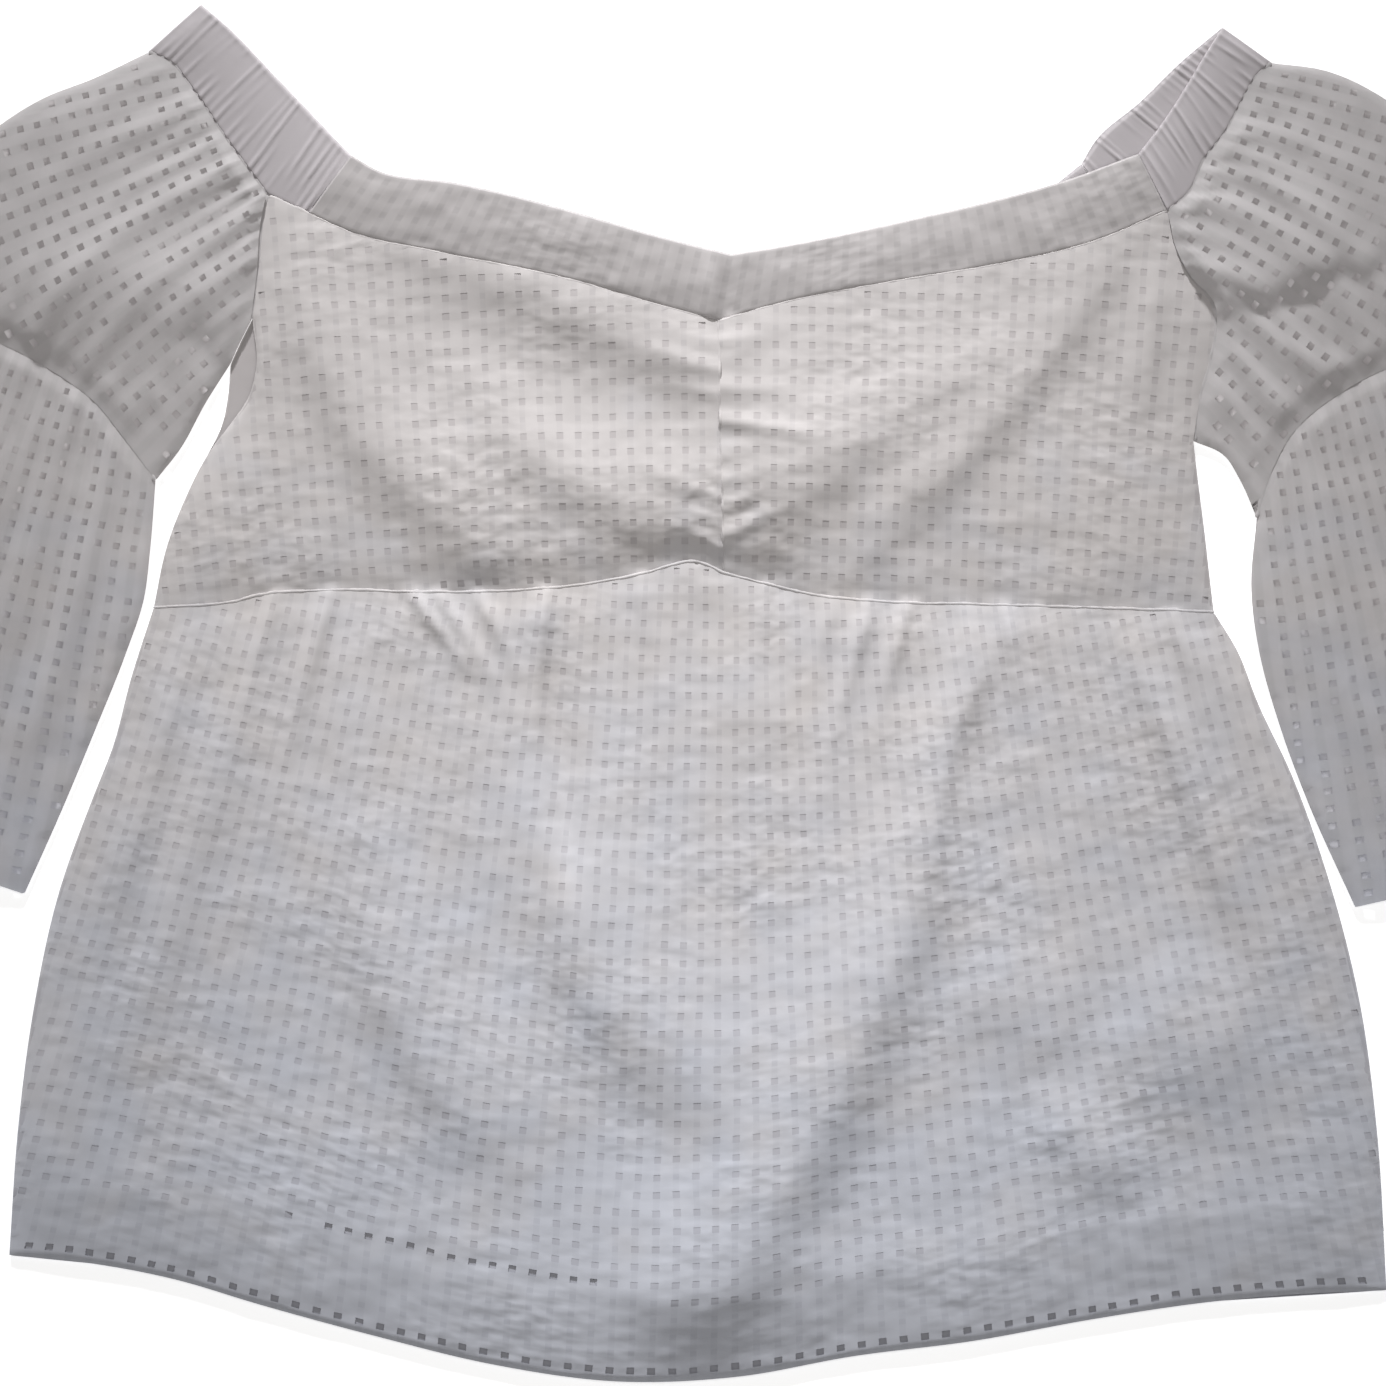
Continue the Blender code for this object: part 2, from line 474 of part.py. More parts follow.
def with_height(net, height):
    return np.concatenate([net, np.broadcast_to(height, net.shape[:2])[..., None]], axis=2)


def steepness(net, height):
    """How much longer a wall is measured upright than square to its slope."""
    step_s = np.linalg.norm(np.gradient(net, axis=0), axis=2) + 1e-6
    step_t = np.linalg.norm(np.gradient(net, axis=1), axis=2) + 1e-6
    slope = np.hypot(np.gradient(height, axis=0) / step_s, np.gradient(height, axis=1) / step_t)
    return np.sqrt(1 + np.minimum(slope, 1.2) ** 2)


def front_piece(name, net, relief, finish, extra=0.0):
    """A piece of the upper layer, which follows its folds with an even wall."""
    under = BASE + relief
    top = under + (WALL + extra) * steepness(net, relief)
    return wall_object(name, with_height(net, top), with_height(net, under), finish)


def back_piece(name, net, finish):
    """A piece that lies flat on the surface."""
    return wall_object(name, with_height(net, BACK_WALL), with_height(net, 0.0), finish)


# ---- the body ----------------------------------------------------------------------
def bodice_left(finish):
    armhole = 5
    near = smooth_line(WAIST_LEFT, BODICE_COLUMNS)
    far = joined(smooth_line(BAND_TO_BODICE[::-1], 2), smooth_line(NECK_SEAM_LEFT, BODICE_COLUMNS - 2))
    start = joined(smooth_line(FRONT_SIDE_LEFT[::-1], BODICE_ROWS - armhole),
                   smooth_line(ARMHOLE_LEFT[::-1], armhole))
    net = patch(near, far, start, smooth_line(CENTRE_SEAM, BODICE_ROWS))
    return front_piece("front_bodice_left", net, front_relief(net[..., 0], net[..., 1]), finish)


def bodice_right(finish):
    near = smooth_line(WAIST_RIGHT, BODICE_COLUMNS)
    far = smooth_line(NECK_SEAM_RIGHT, BODICE_COLUMNS)
    end = joined(smooth_line(SIDE_RIGHT[::-1], BODICE_ROWS - ARMHOLE_STEPS),
                 smooth_line(ARMHOLE_RIGHT[::-1], ARMHOLE_STEPS))
    net = patch(near, far, smooth_line(CENTRE_SEAM, BODICE_ROWS), end)
    return front_piece("front_bodice_right", net, front_relief(net[..., 0], net[..., 1]), finish)


def front_peplum(finish):
    half = PEPLUM_COLUMNS // 2
    far = joined(smooth_line(WAIST_LEFT, half), smooth_line(WAIST_RIGHT, half))
    near = smooth_line(HEM, PEPLUM_COLUMNS)
    net = patch(near, far, smooth_line(PEPLUM_SIDE_LEFT[::-1], PEPLUM_ROWS),
                smooth_line(PEPLUM_SIDE_RIGHT[::-1], PEPLUM_ROWS))
    x, y = net[..., 0], net[..., 1]
    return front_piece("front_peplum", net, front_relief(x, y), finish, hem_step(x, y))


def back_bodice(finish):
    start = joined(smooth_line(BACK_SIDE_LEFT[::-1], BACK_ROWS - 8),
                   smooth_line(ARMPIT_LEFT[::-1], 3), smooth_line(ARMHOLE_LEFT[::-1], 5))
    end = joined(smooth_line(SIDE_RIGHT[::-1], BACK_ROWS - ARMHOLE_STEPS),
                 smooth_line(ARMHOLE_RIGHT[::-1], ARMHOLE_STEPS))
    far = joined(smooth_line(BAND_TO_BODICE[::-1], 2), smooth_line(BACK_BAND_SEAM, BACK_COLUMNS - 3),
                 smooth_line([BACK_BAND_SEAM[-1], ARMHOLE_RIGHT[0]], 1))
    net = patch(smooth_line(BACK_WAIST, BACK_COLUMNS), far, start, end)
    return back_piece("back_bodice", net, finish)


def back_peplum(finish):
    net = patch(smooth_line(BACK_HEM, BACK_COLUMNS), smooth_line(BACK_WAIST, BACK_COLUMNS),
                smooth_line(PEPLUM_SIDE_LEFT[::-1], 8), smooth_line(PEPLUM_SIDE_RIGHT[::-1], 8))
    return back_piece("back_peplum", net, finish)


# ---- the neck bands ----------------------------------------------------------------
def front_band(finish):
    half = BODICE_COLUMNS - 2
    near = joined(smooth_line(NECK_SEAM_LEFT, half), smooth_line(NECK_SEAM_RIGHT, half + 2))
    far = joined(smooth_line(NECK_EDGE_LEFT, half), smooth_line(NECK_EDGE_RIGHT, half + 2))
    net = patch(near, far, smooth_line([NECK_SEAM_LEFT[0], NECK_EDGE_LEFT[0]], BAND_ROWS),
                smooth_line([NECK_SEAM_RIGHT[-1], NECK_EDGE_RIGHT[-1]], BAND_ROWS))
    x, y = net[..., 0], net[..., 1]
    across = np.linspace(0, 1, BAND_ROWS + 1)[None, :]
    rise = BAND_RISE_LEFT + (BAND_RISE_RIGHT - BAND_RISE_LEFT) * soft_step((x + 10) / 60)
    relief = front_relief(x, line_height(x, NECK_LINE)) + rise * across + BAND_ROLL * np.sin(np.pi * across)
    pinch = CENTRE_PINCH * (bell(x - 3, 3.5) - bell(x - 10, 4)) * bell(y - 182, 14)
    return front_piece("front_band", net, np.maximum(relief + pinch, 0.2), finish)


def band_relief(along, across, pleats):
    """Ruching of an elasticated band: upright pleats, flatter along its two edges."""
    wave = 0.5 - 0.5 * np.cos(2 * np.pi * pleats * along)
    uneven = 1 + 0.25 * np.sin(9.0 * along + 1.0) - 0.15 * np.cos(23.0 * along)
    return BAND_SWELL + BAND_PLEAT * wave * uneven * (0.55 + 0.45 * np.sin(np.pi * across))


def shoulder_band(name, joint, neck, sleeve, back_neck, back_sleeve, finish):
    """A ruched band that runs up to the shoulder and is folded over to the back there."""
    front = patch(joint, smooth_line([sleeve[-1], neck[-1]], BAND_ROWS), sleeve, neck)
    back = patch(smooth_line([back_sleeve[0], back_neck[0]], BAND_ROWS),
                 smooth_line([back_sleeve[-1], back_neck[-1]], BAND_ROWS),
                 back_sleeve, smooth_line(back_neck, len(back_sleeve) - 1), SEAM_GAP)
    front, back = front.transpose(1, 0, 2), back.transpose(1, 0, 2)
    along = np.linspace(0, 1, len(front))[:, None]
    relief = band_relief(along, np.linspace(0, 1, BAND_ROWS + 1)[None, :], PLEAT_STEPS // 2)
    relief = relief * soft_step((1.02 - along) * 8)
    top = with_height(front, BASE + relief + WALL)
    under = with_height(front, BASE + relief)
    # the fold at the top: the outer skin turns at its outermost line, the inner one inside it
    turn = front[-1] + (front[-1] - front[-2]) / np.linalg.norm(front[-1] - front[-2], axis=1)[:, None]
    outer_turn = with_height(turn[None], (BASE + WALL) / 2)
    inner_turn = with_height(front[-1][None], BASE - LAYER_GAP / 2)
    under[-1] = with_height(front[-2:-1] * 0.3 + front[-1:] * 0.7, BASE)[0]
    back = back[::-1]
    floor = with_height(back, 0.0)
    lining = with_height(back, BACK_WALL)
    lining[0] = with_height(front[-2:-1] * 0.3 + front[-1:] * 0.7, BACK_WALL)[0]
    outer = np.concatenate([top, outer_turn, floor])
    inner = np.concatenate([under, inner_turn, lining])
    return wall_object(name, outer, inner, finish)


def shoulder_band_left(finish):
    joint = smooth_line([BAND_TO_BODICE[0], NECK_EDGE_LEFT[0]], BAND_ROWS)
    sleeve = joined(smooth_line(BAND_TO_BODICE, 4), smooth_line(SHOULDER_SLEEVE_LEFT, PLEAT_STEPS - 4))
    neck = smooth_line(SHOULDER_NECK_LEFT, PLEAT_STEPS)
    back_sleeve = joined(smooth_line(BAND_TO_BODICE, 2),
                         smooth_line(SHOULDER_SLEEVE_LEFT, PLEAT_STEPS - 4)[::BACK_SKIP])
    return shoulder_band("shoulder_band_left", joint, neck, sleeve, BACK_NECK_LEFT, back_sleeve, finish)


def shoulder_band_right(finish):
    joint = smooth_line([NECK_SEAM_RIGHT[-1], NECK_EDGE_RIGHT[-1]], BAND_ROWS)
    sleeve = smooth_line(SHOULDER_SLEEVE_RIGHT, PLEAT_STEPS)
    neck = smooth_line(SHOULDER_NECK_RIGHT, PLEAT_STEPS)
    back_sleeve = joined(smooth_line([BACK_BAND_SEAM[-1], ARMHOLE_RIGHT[0]], 1),
                         smooth_line(SHOULDER_SLEEVE_RIGHT, PLEAT_STEPS)[::BACK_SKIP])
    return shoulder_band("shoulder_band_right", joint, neck, sleeve, BACK_NECK_RIGHT, back_sleeve, finish)


def back_band(finish):
    net = patch(smooth_line(BACK_BAND_SEAM, BACK_COLUMNS - 3), smooth_line(BACK_NECK_EDGE, BACK_COLUMNS - 3),
                smooth_line([BACK_BAND_SEAM[0], BACK_NECK_EDGE[0]], 2),
                smooth_line([BACK_BAND_SEAM[-1], BACK_NECK_EDGE[-1]], 2))
    return back_piece("back_band", net, finish)


# ---- the sleeves -------------------------------------------------------------------
def sleeve_loop(net, relief_of, creases, skin, corner):
    """The closed section of a flattened sleeve at every row: folded front, flat back."""
    columns = net.shape[0]
    s = shares_along(net[:, 0])[:, None]
    s_far = shares_along(net[:, -1])[:, None]
    t = np.linspace(0, 1, net.shape[1])[None, :]
    s = s * (1 - t) + s_far * t
    relief = relief_of(s, t) + tube_profile(s) * creases_height(net[..., 0], net[..., 1], creases)
    relief = np.maximum(relief, 0.0)
    if skin == "outer":
        top = BASE + WALL * steepness(net, relief) + relief
        floor = np.zeros_like(relief)
        margin = (0.0, EDGE_ROUND)
    else:
        top = BASE + relief
        floor = np.full_like(relief, BACK_WALL)
        margin = (WALL, WALL + 0.5)
    middle = BASE - LAYER_GAP / 2
    edges = []
    for a, b in ((0, 1), (columns - 1, columns - 2)):
        toward = net[b] - net[a]
        toward = toward / np.linalg.norm(toward, axis=1)[:, None]
        edges.append([net[a] + toward * distance for distance in margin])
    loop = [with_height(edges[0][0][None], middle), with_height(edges[0][1][None], top[0][None])]
    loop += [with_height(net[i][None], top[i][None]) for i in range(1, columns - 1)]
    loop += [with_height(edges[1][1][None], top[-1][None]), with_height(edges[1][0][None], middle)]
    loop += [with_height(edges[1][1][None], floor[-1][None])]
    kept = [i for i in range(columns - 2, 0, -1) if i >= corner or i % BACK_SKIP == 0]
    loop += [with_height(net[i][None], floor[i][None]) for i in kept]
    loop += [with_height(edges[0][1][None], floor[0][None])]
    return np.concatenate(loop)


def sleeve(name, net, relief_of, creases, finish, corner):
    outer = sleeve_loop(net, relief_of, creases, "outer", corner)
    inner = sleeve_loop(net, relief_of, creases, "inner", corner)
    return wall_object(name, outer, inner, finish, around=True)


def sleeves_left(finish):
    head = joined(smooth_line(SHOULDER_SLEEVE_LEFT[::-1], PLEAT_STEPS - 4),
                  smooth_line(ARMHOLE_LEFT, 5), smooth_line(ARMPIT_LEFT, 3))
    columns = len(head) - 1
    elbow = smooth_line(ELBOW_LEFT, columns)
    puff = patch(head, elbow, smooth_line(PUFF_OUTER_LEFT, SLEEVE_ROWS),
                 smooth_line(PUFF_INNER_LEFT, SLEEVE_ROWS))
    flare = patch(elbow, smooth_line(CUFF_LEFT, columns), smooth_line(FLARE_OUTER_LEFT, CUFF_ROWS),
                  smooth_line(FLARE_INNER_LEFT, CUFF_ROWS))
    corner = PLEAT_STEPS - 4
    return [sleeve("sleeve_upper_left", puff, puff_relief, PUFF_CREASES_LEFT, finish, corner),
            sleeve("sleeve_lower_left", flare, flare_relief, [], finish, corner)]


def sleeves_right(finish):
    head = joined(smooth_line(SHOULDER_SLEEVE_RIGHT[::-1], PLEAT_STEPS),
                  smooth_line(ARMHOLE_RIGHT, ARMHOLE_STEPS))
    columns = len(head) - 1
    elbow = smooth_line(ELBOW_RIGHT, columns)
    puff = patch(head, elbow, smooth_line(PUFF_OUTER_RIGHT, SLEEVE_ROWS),
                 smooth_line(PUFF_INNER_RIGHT, SLEEVE_ROWS))
    flare = patch(elbow, smooth_line(CUFF_RIGHT, columns), smooth_line(FLARE_OUTER_RIGHT, CUFF_ROWS),
                  smooth_line(FLARE_INNER_RIGHT, CUFF_ROWS))
    return [sleeve("sleeve_upper_right", puff, puff_relief, PUFF_CREASES_RIGHT, finish, PLEAT_STEPS),
            sleeve("sleeve_lower_right", flare, flare_relief, [], finish, PLEAT_STEPS)]


def centre_on_origin(pieces):
    """Put the middle of the whole garment's outline over the origin, resting on z = 0."""
    points = np.array([v.co[:] for piece in pieces for v in piece.data.vertices])
    low, high = points.min(axis=0), points.max(axis=0)
    shift = np.array([(low[0] + high[0]) / 2, (low[1] + high[1]) / 2, low[2]])
    for piece in pieces:
        for vertex in piece.data.vertices:
            vertex.co = np.array(vertex.co[:]) - shift
    print("shift", shift, "size", high - low)


def main():
    for thing in list(bpy.data.objects):
        bpy.data.objects.remove(thing, do_unlink=True)
    pieces = [bodice_left(OPENWORK), bodice_right(OPENWORK), front_peplum(OPENWORK),
              back_bodice(BACK_OPENWORK), back_peplum(BACK_OPENWORK), front_band(PLAIN_BAND),
              shoulder_band_left(RUCHED_BAND), shoulder_band_right(RUCHED_BAND),
              back_band(RUCHED_BAND)]
    pieces += sleeves_left(UNLINED) + sleeves_right(UNLINED)
    centre_on_origin(pieces)
    for piece in pieces:
        print(piece.name, len(piece.data.polygons))
    print("triangles", sum(len(piece.data.polygons) for piece in pieces))


main()
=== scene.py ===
# %% [markdown]
# # A peasant blouse, laid flat
# A white cotton blouse lies face up on a pale table. Its solids already give each cut
# piece its place. This lesson dresses every solid with thin cloth: an openwork net with
# real square holes, a lining behind it, ruched bands and seam allowances. Cloth could be
# simulated, but the folds of a garment that was patted flat are few and still, so they
# are laid as soft ridges and troughs, which gives the same cloth on every run.

# %% Load the solids
import bpy
import bmesh
import json
import math
import numpy as np
from collections import namedtuple
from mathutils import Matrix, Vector

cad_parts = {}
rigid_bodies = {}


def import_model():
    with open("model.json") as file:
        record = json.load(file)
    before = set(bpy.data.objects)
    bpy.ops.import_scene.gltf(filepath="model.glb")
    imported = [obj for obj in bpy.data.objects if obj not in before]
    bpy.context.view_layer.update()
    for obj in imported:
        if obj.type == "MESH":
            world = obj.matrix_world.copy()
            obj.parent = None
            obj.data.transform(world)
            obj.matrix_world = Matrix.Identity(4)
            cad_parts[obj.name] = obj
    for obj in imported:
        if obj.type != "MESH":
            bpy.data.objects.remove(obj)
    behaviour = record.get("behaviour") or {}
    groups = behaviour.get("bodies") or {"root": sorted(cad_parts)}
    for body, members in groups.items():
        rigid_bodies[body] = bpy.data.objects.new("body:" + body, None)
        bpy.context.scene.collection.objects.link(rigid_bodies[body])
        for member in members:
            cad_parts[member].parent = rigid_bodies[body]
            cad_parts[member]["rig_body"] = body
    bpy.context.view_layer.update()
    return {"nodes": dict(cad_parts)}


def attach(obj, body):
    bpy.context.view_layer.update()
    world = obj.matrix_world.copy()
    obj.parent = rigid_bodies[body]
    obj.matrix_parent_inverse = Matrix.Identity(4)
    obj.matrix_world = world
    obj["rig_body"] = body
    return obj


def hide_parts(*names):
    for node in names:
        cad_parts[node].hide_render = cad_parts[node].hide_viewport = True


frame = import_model()
MM = 0.001


def table(row_kind, *rows):
    """Rows with named columns."""
    return [row_kind(*row) for row in rows]


print("solids:", len(frame["nodes"]))

# %% [markdown]
# ## Seam lines
# Every cloth piece is bounded by seam and edge lines. They are the same lines as in the
# solids, in millimetres, x to the viewer's right and y towards the neck. A few points a
# line are enough, because a smooth curve runs through them.

# %% Seam and edge lines
Point = namedtuple("Point", "x y")
NECK_SEAM_LEFT = table(Point, (-181, 218.5), (-162, 210), (-119, 200), (-60, 187.5), (-27, 178), (6, 169))
NECK_SEAM_RIGHT = table(Point, (6, 169), (31, 176.5), (86, 187.5), (140, 196.5), (177, 205.5), (211, 220))
NECK_EDGE_LEFT = table(Point, (-161, 245), (-149, 238), (-114, 232), (-59, 218.5), (-23, 208), (12, 199.5))
NECK_EDGE_RIGHT = table(Point, (12, 199.5), (50, 206.5), (105, 218.5), (141, 227), (165, 234), (197.5, 246))
CENTRE_SEAM = table(Point, (8.5, 55), (8, 88), (7, 124), (6, 169))
WAIST_LEFT = table(Point, (-252, 39), (-217, 41.5), (-202, 45), (-170, 47), (-122, 46), (-86, 47),
    (-60, 49), (-31, 54), (-1.5, 59.5), (8.5, 55))
WAIST_RIGHT = table(Point, (8.5, 55), (31, 49), (49, 45), (86, 41.5), (122, 40.5), (177, 39), (232.5, 37))
BAND_TO_BODICE = table(Point, (-181, 218.5), (-200, 227.5))
ARMHOLE_LEFT = table(Point, (-200, 227.5), (-203, 212), (-204, 196), (-207, 171))
ARMPIT_LEFT = table(Point, (-207, 171), (-213, 159), (-217, 150))
FRONT_SIDE_LEFT = table(Point, (-207, 171), (-205, 148), (-209, 134.5), (-217, 123), (-226, 111),
    (-238, 88), (-246, 67), (-252, 39))
BACK_SIDE_LEFT = table(Point, (-217, 150), (-218, 137), (-221, 122), (-228, 108), (-239, 86), (-246, 66),
    (-252, 39))
ARMHOLE_RIGHT = table(Point, (211, 220), (215, 202), (222, 189), (232, 178), (233.5, 168), (231, 152),
    (226, 134), (223, 115))
SIDE_RIGHT = table(Point, (223, 115), (225, 99), (228, 76), (230.5, 54), (232.5, 37))
PEPLUM_SIDE_LEFT = table(Point, (-252, 39), (-262, 8), (-271, -26), (-279, -46), (-295, -90), (-307, -145),
    (-314, -199), (-318, -257))
PEPLUM_SIDE_RIGHT = table(Point, (232.5, 37), (243.5, 19), (252, -3), (268, -37), (285, -85), (299, -140),
    (307, -199), (311.5, -273))
HEM = table(Point, (-318, -257), (-278, -261), (-242, -268), (-205, -279), (-150, -294), (-96, -307),
    (-41, -314.5), (14, -312.5), (68, -303), (123, -296), (178, -286), (233, -278), (267, -275),
    (311.5, -273))
SHOULDER_NECK_LEFT = table(Point, (-161, 245), (-194, 279.5), (-221, 307), (-230, 314.5))
SHOULDER_SLEEVE_LEFT = table(Point, (-200, 227.5), (-218, 252), (-235, 277), (-244, 288), (-254, 293))
SHOULDER_NECK_RIGHT = table(Point, (197.5, 246), (209, 261), (220, 278), (229, 293), (236, 304))
SHOULDER_SLEEVE_RIGHT = table(Point, (211, 220), (221, 228.5), (227.5, 243), (237.5, 256), (245, 270),
    (252, 282), (258.5, 288))
BACK_NECK_LEFT = table(Point, (-162, 243), (-190, 273), (-218, 302), (-230, 314.5))
BACK_NECK_RIGHT = table(Point, (172, 242), (178, 252), (199, 270.5), (218, 289), (236, 304))
BACK_NECK_EDGE = table(Point, (-162, 243), (-148, 233), (-59, 215), (12, 196), (105, 214), (155, 229),
    (172, 242))
BACK_BAND_SEAM = table(Point, (-181, 218.5), (-150, 204), (-60, 184), (12, 167), (90, 184), (150, 200),
    (190, 216))
BACK_WAIST = table(Point, (-252, 39), (-120, 44), (0, 45), (120, 42), (232.5, 37))
BACK_HEM = table(Point, (-318, -257), (-242, -266), (-150, -290), (-41, -309), (68, -299), (178, -283),
    (311.5, -273))
PUFF_OUTER_LEFT = table(Point, (-254, 293), (-279, 281), (-303, 271.5), (-328, 255), (-350, 233),
    (-366, 208), (-376, 179))
PUFF_INNER_LEFT = table(Point, (-217, 150), (-227.5, 133.5), (-240, 111), (-251, 97))
ELBOW_LEFT = table(Point, (-376, 179), (-349, 169), (-321, 159), (-296, 145.5), (-279, 133), (-266, 117),
    (-251, 97))
FLARE_OUTER_LEFT = table(Point, (-376, 179), (-392, 143), (-417, 88), (-442, 33), (-462, -13))
FLARE_INNER_LEFT = table(Point, (-251, 97), (-253.5, 65), (-256.5, 42), (-264, 19.5), (-279, -18),
    (-294, -54), (-311, -92))
CUFF_LEFT = table(Point, (-462, -13), (-408, -49), (-358, -75), (-311, -92))
PUFF_OUTER_RIGHT = table(Point, (258.5, 288), (285, 284), (313, 270), (339, 247), (358, 218), (369, 190.5),
    (373, 163))
PUFF_INNER_RIGHT = table(Point, (223, 115), (237, 108.5), (244.5, 97), (252, 80))
ELBOW_RIGHT = table(Point, (373, 163), (347, 159), (319, 151), (292, 138), (268, 118), (258, 99), (252, 80))
FLARE_OUTER_RIGHT = table(Point, (373, 163), (390, 124.5), (414, 72), (439, 20), (462, -24))
FLARE_INNER_RIGHT = table(Point, (252, 80), (249.5, 48), (253, 19.5), (262.5, -15), (275, -49), (297, -98))
CUFF_RIGHT = table(Point, (462, -24), (408, -59), (349, -85), (297, -98))


def hermite(u, first, last, first_slope, last_slope):
    """A cubic between two values, with the given slopes at its ends."""
    return ((2 * u**3 - 3 * u**2 + 1) * first + (u**3 - 2 * u**2 + u) * first_slope
            + (3 * u**2 - 2 * u**3) * last + (u**3 - u**2) * last_slope)


def curve(rows, steps):
    """Points at even steps along a smooth line through the rows."""
    rows = np.array(rows, float)
    if len(rows) == 2:
        shares = np.linspace(0, 1, steps + 1)[:, None]
        return rows[0] * (1 - shares) + rows[1] * shares
    along = np.concatenate([[0], np.cumsum(np.linalg.norm(np.diff(rows, axis=0), axis=1))])
    slope = np.gradient(rows, along, axis=0)
    fine = np.linspace(0, along[-1], 40 * len(rows))
    span = np.clip(np.searchsorted(along, fine, side="right") - 1, 0, len(rows) - 2)
    length = (along[span + 1] - along[span])[:, None]
    u = (fine[:, None] - along[span][:, None]) / length
    dense = hermite(u, rows[span], rows[span + 1], length * slope[span], length * slope[span + 1])
    reach = np.concatenate([[0], np.cumsum(np.linalg.norm(np.diff(dense, axis=0), axis=1))])
    even = np.linspace(0, reach[-1], steps + 1)
    return np.stack([np.interp(even, reach, dense[:, axis]) for axis in (0, 1)], axis=1)


def joined(*lines):
    """One line from several that follow each other end to end."""
    return np.concatenate([lines[0]] + [line[1:] for line in lines[1:]])


def line_height(x, line):
    """The y of a seam line above each x."""
    order = np.argsort(line[:, 0])
    return np.interp(x, line[order, 0], line[order, 1])


WAIST_LINE = joined(curve(WAIST_LEFT, 60), curve(WAIST_RIGHT, 60))
HEM_LINE = curve(HEM, 120)
LINING_EDGE = table(Point, (-318, -231), (-230, -237), (-185, -243), (-139, -250), (-94, -259), (-56, -273),
    (-30, -280), (0, -281), (43, -276), (122, -260), (195, -246), (311, -238))
LINING_EDGE_LINE = curve(LINING_EDGE, 60)
NECK_LINE = joined(curve(NECK_SEAM_LEFT, 40), curve(NECK_SEAM_RIGHT, 40))
print("neck seam", round(float(np.sum(np.linalg.norm(np.diff(NECK_LINE, axis=0), axis=1)))), "mm")

# %% [markdown]
# ## Folds of the front
# The front lies on the back, so most of it is nearly flat. What the eye reads are long
# soft troughs and ridges drawn from the bust towards the middle seam, wide valleys down
# the peplum, small gathers under the waist seam and short puckers along the middle seam.
# Each is one row of a table: where it starts, bends and ends, how wide and how high it is.

# %% Heights of the front
Section = namedtuple("Section", "y left right")
Rise = namedtuple("Rise", "y middle flank")
Crease = namedtuple("Crease", "x1 y1 x2 y2 x3 y3 above below grow height")
Gather = namedtuple("Gather", "x lean reach width height")
Pucker = namedtuple("Pucker", "y reach slant height")
Pleat = namedtuple("Pleat", "at width height reach")

BACK_TOP = 1.2         # top of the back's cloth
BASE = 1.6             # lowest level of the upper layer's underside
WALL = 1.3             # how thick the front is, with its lining
SIDE_TAPER = 26.0      # over how far the front rises from its side seams
SEAM_DRAW = 9.0        # how far the waist seam presses the front down
LINING_STEP = 0.4      # how much lower the front lies where it has no lining
CREASE_FADE = 0.38     # share of a crease over which each end dies out
HEM_FALL = 46.0        # how far above the hem the front starts to come down to the table
HEM_LEVEL = 0.12       # share of its height that the front keeps at the hem
EDGE_ROUNDNESS = 0.8   # how steeply the front rises from its sides: 1 is even, less is steeper
SEAM_MIDDLE = 5.0      # x of the garment's middle
MIDDLE_REACH = 130.0   # how far from the middle the middle's height reaches
SEAM_PRESS = 0.45      # share of its height that the front loses at the waist seam
PUCKER_WIDTH = 4.2
PUCKER_START = 6.0     # distance from the middle seam at which its puckers are highest
LINING_FADE = 12.0     # over how far the front steps down at the lining's edge
LEAST_RELIEF = 0.25

BODY_SECTIONS = table(Section, (-320, -318, 312), (-199, -314, 307), (-90, -295, 285), (8, -262, 248),
    (39, -252, 232), (88, -238, 227), (134, -210, 226), (171, -207, 233), (228, -200, 212),
    (320, -230, 236))
BODY_RISES = table(Rise, (250, 2.6, 2.2), (218, 2.8, 2.4), (174, 3.2, 2.8), (134, 4.0, 3.2),
    (104, 5.6, 3.6), (80, 4.6, 3.4), (61, 3.4, 2.8), (45, 2.6, 2.2), (20, 3.2, 2.8), (-49, 4.8, 4.2),
    (-140, 5.4, 4.8), (-208, 5.4, 4.8), (-240, 5.6, 5.0), (-320, 5.4, 5.0))
